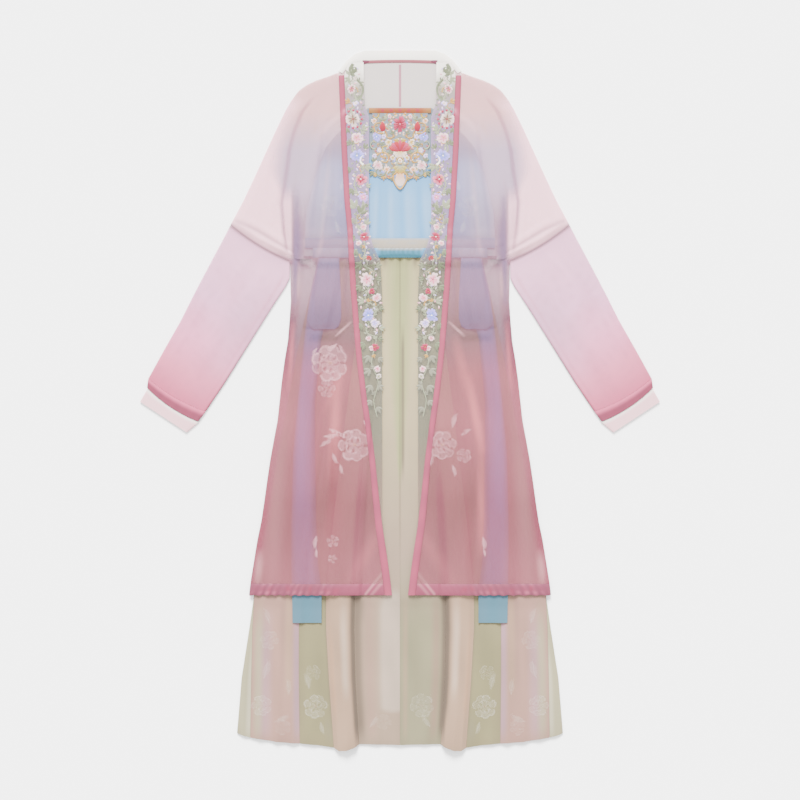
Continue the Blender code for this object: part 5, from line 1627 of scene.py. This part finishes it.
def yoke_stitches():
    """Both halves of the yoke's stitching, and the flowers on its centre line."""
    work = Stitches()
    for side in (-1, 1):
        for x, y, turn, k in scatter(np.arange(408, 525, 5.5), 5.2, yoke_inside):
            tones = YOKE_FILL[k % len(YOKE_FILL)]
            work.petal(side * x, y, aim(turn, side), 6.5, 3.6, 0.35, *tones, -1, count=8)
        for x, y, radius, start, end, far, width, tint in YOKE_CORDS:
            path = [(side * px, py) for px, py in arc(x, y, radius, start, end, 18, far)]
            work.cord(path, width, 0.9, tint, 0.5 * width)
        bud_x, bud_y = side * BUD[0], BUD[1]
        work.petal(bud_x, bud_y, -90, 20, 14, 1.1, "red", "crimson")
        for turn in (40, 140):
            work.petal(bud_x, bud_y, aim(turn, side), 11, 6, 0.7, "leaf", "sage", -1)
        for x, y, turn, size, tint in YOKE_LEAVES:
            work.spray(side * x, y, aim(turn, side), size, tint)
        for x, y, size, petals, turn, outer, inner, core in YOKE_FLOWERS:
            work.flower(side * x, y, size, petals, turn, outer, inner, core)
    for k, (x, y) in enumerate(arc(0, ROSETTE_LEVEL, 15, 0, 337.5, 15)):
        work.petal(x, y, 22.5 * k, 4, 4.6, 0.7, "petal", "peach")
    work.flower(0, ROSETTE_LEVEL, 30, 8, 0, "rose", "crimson", "pink", 1.1)
    for angle in (180, 207, 234, 270, 306, 333, 360):
        work.petal(0, 458, angle, 14, 8, 0.8, "straw", "petal")
    for k in range(7):
        work.petal(0, 455, 27 + 21 * k, 23, 12, 1.0, "crimson", "rose" if k % 2 else "red")
    work.cord(arc(0, LOTUS_LEVEL, 6, 0, 360, 14), 2.4, 0.8, "gold_thread")
    work.flower(0, LOTUS_LEVEL, 9, 5, 18, "white", "peach", "straw")
    for angle in (-160, -125, -90, -55, -20):
        work.petal(0, 430, angle, 14, 8, 0.9, "sage", "straw")
    work.petal(0, 420, -90, 27, 23, 1.2, "peach", "petal", 0.1)
    work.cord(smooth_path(DROP_RIM), 3.2, 1.2, "gold_thread")
    return work


def woven_flower(work, x, y, size, lobes, turn, tint, cover):
    """Woven peony: broad soft lobes round a smaller ring, a warm heart and bright arcs.

    All of it fades out at its rims.
    """
    for k in range(lobes):
        angle = turn + 360 * k / lobes + 8 * math.sin(1.9 * k)
        t = math.radians(angle)
        away, length = 0.13 * size, size * (0.36 + 0.05 * math.sin(2.3 * k + turn))
        shade = cover * (0.8 + 0.2 * math.sin(1.3 * k + turn))
        base_x, base_y = x + away * math.cos(t), y + away * math.sin(t)
        work.petal(base_x, base_y, angle, length, 0.42 * size, 0.1, tint, tint, 0.35, 0.38 * shade, 12,
                   True)
        rim_x, rim_y = x + 0.30 * size * math.cos(t), y + 0.30 * size * math.sin(t)
        rim = arc(rim_x, rim_y, 0.16 * size, angle - 75, angle + 75, 8)
        work.cord(rim, 0.07 * size, 0.12, tint, None, shade * 0.6, True)
        near_x, near_y = x + 0.16 * size * math.cos(t + 0.4), y + 0.16 * size * math.sin(t + 0.4)
        near = arc(near_x, near_y, 0.1 * size, angle - 60, angle + 110, 8)
        work.cord(near, 0.05 * size, 0.13, tint, None, shade * 0.5, True)
    for k in range(lobes - 2):
        angle = turn + 25 + 360 * k / (lobes - 2)
        work.petal(x, y, angle, 0.24 * size, 0.17 * size, 0.12, tint, tint, 0.3, cover * 0.4, 10, True)
    work.petal(x - 0.09 * size, y, 10, 0.18 * size, 0.15 * size, 0.14, "peach", "shoulder", 0.2,
               0.5 * cover, 10, True)


def woven_leaf(work, x, y, size, turn, tint, cover):
    """Woven leaf: a soft blade with a brighter bent rib."""
    work.petal(x, y, turn + 8, size, 0.42 * size, 0.1, tint, tint, -1, cover * 0.6, 12, True)
    t = math.radians(turn)
    bend = []
    for share in (0, 0.25, 0.5, 0.75, 1):
        out, aside = share * size, 0.18 * share * size * (1 - share)
        bend.append((x + out * math.cos(t) - aside * math.sin(t),
                     y + out * math.sin(t) + aside * math.cos(t)))
    work.cord(bend, 3.5, 0.12, tint, 2.0, cover * 0.5, True)


COAT_FLOWERS = [
    # side, x, y, size, lobes, turn, colour, cover
    (-1, 129, 68, 70, 8, 20, "woven", 0.47), (-1, 134, 22, 34, 6, 0, "woven", 0.31),
    (-1, 84, -82, 62, 7, 0, "woven", 0.42), (-1, 123, -258, 24, 5, 10, "woven", 0.34),
    (-1, 124, -290, 17, 5, 40, "woven", 0.34), (1, 78, -82, 54, 7, 10, "woven", 0.39),
    (1, 117, -101, 28, 6, 40, "woven", 0.31), (0, 126, 356, 40, 6, 0, "white", 0.07),
]
COAT_LEAVES = [
    # side, x, y, size, turn, colour, cover
    (-1, 116, 104, 22, -50, "woven", 0.43), (-1, 152, 96, 16, -60, "woven", 0.36),
    (-1, 104, 86, 18, 60, "woven", 0.29), (-1, 130, -52, 30, 200, "woven", 0.36),
    (-1, 140, -66, 26, 170, "woven", 0.36), (-1, 146, -84, 26, 140, "woven", 0.32),
    (-1, 124, -96, 22, 240, "woven", 0.36), (-1, 110, -116, 20, 250, "woven", 0.32),
    (-1, 60, -50, 16, 60, "woven", 0.29), (-1, 153, -248, 24, -86, "woven", 0.36),
    (-1, 153, -272, 16, -95, "woven", 0.36), (1, 96, -50, 28, 70, "woven", 0.32),
    (1, 112, -64, 22, 30, "woven", 0.29), (1, 60, -100, 22, 250, "woven", 0.29),
    (1, 96, -118, 22, 280, "woven", 0.32), (1, 152, -250, 24, -88, "woven", 0.36),
    (1, 153, -272, 14, -80, "woven", 0.36), (0, 118, 330, 26, 250, "white", 0.07),
    (0, 110, 384, 24, 100, "white", 0.07),
]
SKIRT_FLOWERS = {
    # panel: side, x, y, size, lobes, turn, colour, cover
    "green": [(0, 155, -562, 46, 7, 20, "white", 0.13), (0, 160, -500, 30, 6, 50, "white", 0.07)],
    "blush": [(0, 254, -560, 40, 7, 0, "white", 0.10), (0, 240, -440, 36, 6, 10, "white", 0.08),
              (0, 215, -600, 30, 6, 30, "white", 0.07)],
    "centre": [(1, 40, -560, 46, 7, 40, "white", 0.08), (-1, 30, -590, 30, 6, 10, "white", 0.05)],
}
SKIRT_LEAVES = {
    # panel: side, x, y, size, turn, colour, cover
    "green": [(0, 166, -530, 30, 70, "white", 0.09), (0, 146, -590, 24, 250, "white", 0.09)],
    "blush": [(0, 230, -590, 30, 150, "white", 0.08), (0, 250, -510, 36, 100, "white", 0.08),
              (0, 240, -410, 30, 70, "white", 0.07), (0, 204, -540, 30, 80, "white", 0.07)],
    "centre": [(0, 56, -600, 26, 120, "white", 0.07)],
}


def coat_surface(x, y):
    """Where the coat's woven flowers lie."""
    return over(x, y) + INSET + CLOTH + 0.02


def woven(side, name, flowers, leaves, surface):
    """Woven flowers of one side as one piece; those marked 0 are on both sides."""
    work = Stitches()
    for who, *flower in flowers:
        if who in (0, side):
            woven_flower(work, *flower)
    for who, *leaf in leaves:
        if who in (0, side):
            woven_leaf(work, *leaf)
    return work.lay(name + label(side), surface, WOVEN, side)


def skirt_top(x, y):
    """Where the skirt's woven flowers lie."""
    return dress_base(y) + FRONT_LIFT + skirt_fold(x, y) + INSET + CLOTH + 0.3


# Build --------------------------------------------------------------------------------------------


def declare(piece):
    """Split a piece's name into its base and its side's ending; nothing is kept or stated."""
    base, end = piece.name, ""
    for name in ("_left", "_right"):
        if base.endswith(name):
            base, end = base[:-len(name)], name


# Neck tape with a knot at each end, and the centre back seam
TAPE_HALF, TAPE_LEVEL, TAPE_RISE, TAPE_WIDTH = 68, 622.0, 1.8, 6.4
TAPE_KNOT = [(68.5, 621.6), (63, 622.4), (57, 622.8)]
BACK_SEAM_TOP, BACK_SEAM_END, BACK_SEAM_WIDTH = 617, 540, 4.6

tape = Stitches()
across = np.linspace(-TAPE_HALF, TAPE_HALF, 28)
bow = [(x, TAPE_LEVEL + TAPE_RISE * (1 - (x / TAPE_HALF) ** 2)) for x in across]
tape.cord(bow, TAPE_WIDTH, 0.6, "neck_line")
for end in (-1, 1):
    tape.cord([(end * x, y) for x, y in TAPE_KNOT], 8.6, 0.9, "hem", 5.0)
back_seam = [(0, y) for y in np.linspace(BACK_SEAM_TOP, BACK_SEAM_END, 16)]
tape.cord(back_seam, BACK_SEAM_WIDTH, 0.4, "seam_line")
tape_piece = tape.lay("neck_tape", lambda x, y: np.where(y > BACK_SEAM_TOP, 1.5, 0.9), EMBROIDERY)
neck_tape = place(tape_piece, "binding_silk")

declare(place(hem_back(), "binding_silk", "hem_binding_back"))
declare(place(collar(), "cream_silk", "collar_back"))
declare(place(bodice_back(), "bodice_silk", "bodice_back"))
declare(place(bodice_front(), "bodice_silk", "bodice_front"))
declare(place(top_band(), "gold_braid", "bodice_top_band"))
declare(place(waistband(), "waistband_silk", "waistband"))
declare(place(waist_tie(), "tie_silk", "waist_tie"))
declare(place(skirt_back(), "skirt_green", "skirt_back"))
yoke_work = place(yoke_stitches().lay("yoke_embroidery", yoke_surface, EMBROIDERY), "embroidery")
declare(place(yoke(), "embroidery", "bodice_yoke"))
band_work = band_stitches()
panel_slots = dict(centre="skirt_centre", cream="skirt_cream", green="skirt_green", blush="skirt_blush",
                   side="skirt_green")
for side in (-1, 1):
    end = label(side)
    for panel in PANELS:
        flowers = []
        if panel in SKIRT_FLOWERS:
            work = woven(side, "woven_%s_" % panel, SKIRT_FLOWERS[panel], SKIRT_LEAVES[panel], skirt_top)
            flowers = [place(work, panel_slots[panel])]
        declare(place(skirt_panel(panel, side), panel_slots[panel], "skirt_%s_%s" % (panel, end)))
    declare(place(tie_tail(side), "tie_silk", "tie_tail_" + end))
    declare(place(tie_loop(side), "tie_silk", "tie_loop_" + end))
    declare(place(coat_back(side), "coat_silk", "coat_back_" + end))
    woven_coat = place(woven(side, "woven_coat_", COAT_FLOWERS, COAT_LEAVES, coat_surface), "coat_silk")
    declare(place(coat_front(side), "coat_silk", "coat_front_" + end))
    band_flowers = band_work.lay("band_embroidery_" + end, band_surface, EMBROIDERY, side)
    place(band_flowers, "embroidery")
    declare(place(front_band(side), "band_gauze", "front_band_" + end))
    declare(place(front_binding(side), "binding_silk", "front_binding_" + end))
    declare(place(hem_front(side), "binding_silk", "hem_binding_front_" + end))
    declare(place(sleeve(side), "sleeve_silk", "sleeve_" + end))
    declare(place(cuff_binding(side), "binding_silk", "cuff_binding_" + end))
    declare(place(cuff(side), "cream_silk", "cuff_" + end))

# Floor, light and camera; the camera looks straight down
FLOOR_WIDTH, FLOOR_LEVEL = 12.0, -0.0004
PAPER_WHITE, PAPER_ROUGHNESS, PAPER_GLOSS = (0.97, 0.97, 0.97, 1.0), 0.9, 0.1
SKY_WHITE, SKY_POWER = (1.0, 1.0, 1.0, 1.0), 2.4
KEY_POWER, KEY_SPREAD, KEY_TILT_X, KEY_TILT_Y = 17.5, 24, -56, -8
LENS, SENSOR, VIEW_WIDTH, VIEW_SHIFT = 85.0, 36.0, 1.4704, 0.0009

bpy.ops.mesh.primitive_plane_add(size=FLOOR_WIDTH, location=(0.0, 0.0, FLOOR_LEVEL))
floor = bpy.context.active_object
floor.name = "floor"
paper = bpy.data.materials.new("floor_paper")
paper.use_nodes = True
sheet = paper.node_tree.nodes["Principled BSDF"]
sheet.inputs["Base Color"].default_value = PAPER_WHITE
sheet.inputs["Roughness"].default_value = PAPER_ROUGHNESS
sheet.inputs["Specular IOR Level"].default_value = PAPER_GLOSS
floor.data.materials.append(paper)

world = bpy.data.worlds.new("studio")
bpy.context.scene.world = world
world.use_nodes = True
world.node_tree.nodes["Background"].inputs["Color"].default_value = SKY_WHITE
world.node_tree.nodes["Background"].inputs["Strength"].default_value = SKY_POWER

sun = bpy.data.lights.new("key_light", "SUN")
sun.energy = KEY_POWER
sun.angle = math.radians(KEY_SPREAD)
key = bpy.data.objects.new("key_light", sun)
key.rotation_euler = (math.radians(KEY_TILT_X), math.radians(KEY_TILT_Y), 0.0)
bpy.context.scene.collection.objects.link(key)

lens = bpy.data.cameras.new("camera")
lens.lens = LENS
lens.sensor_width = SENSOR
camera = bpy.data.objects.new("camera", lens)
camera.location = (0.0, VIEW_SHIFT, VIEW_WIDTH * LENS / SENSOR)
bpy.context.scene.collection.objects.link(camera)
bpy.context.scene.camera = camera
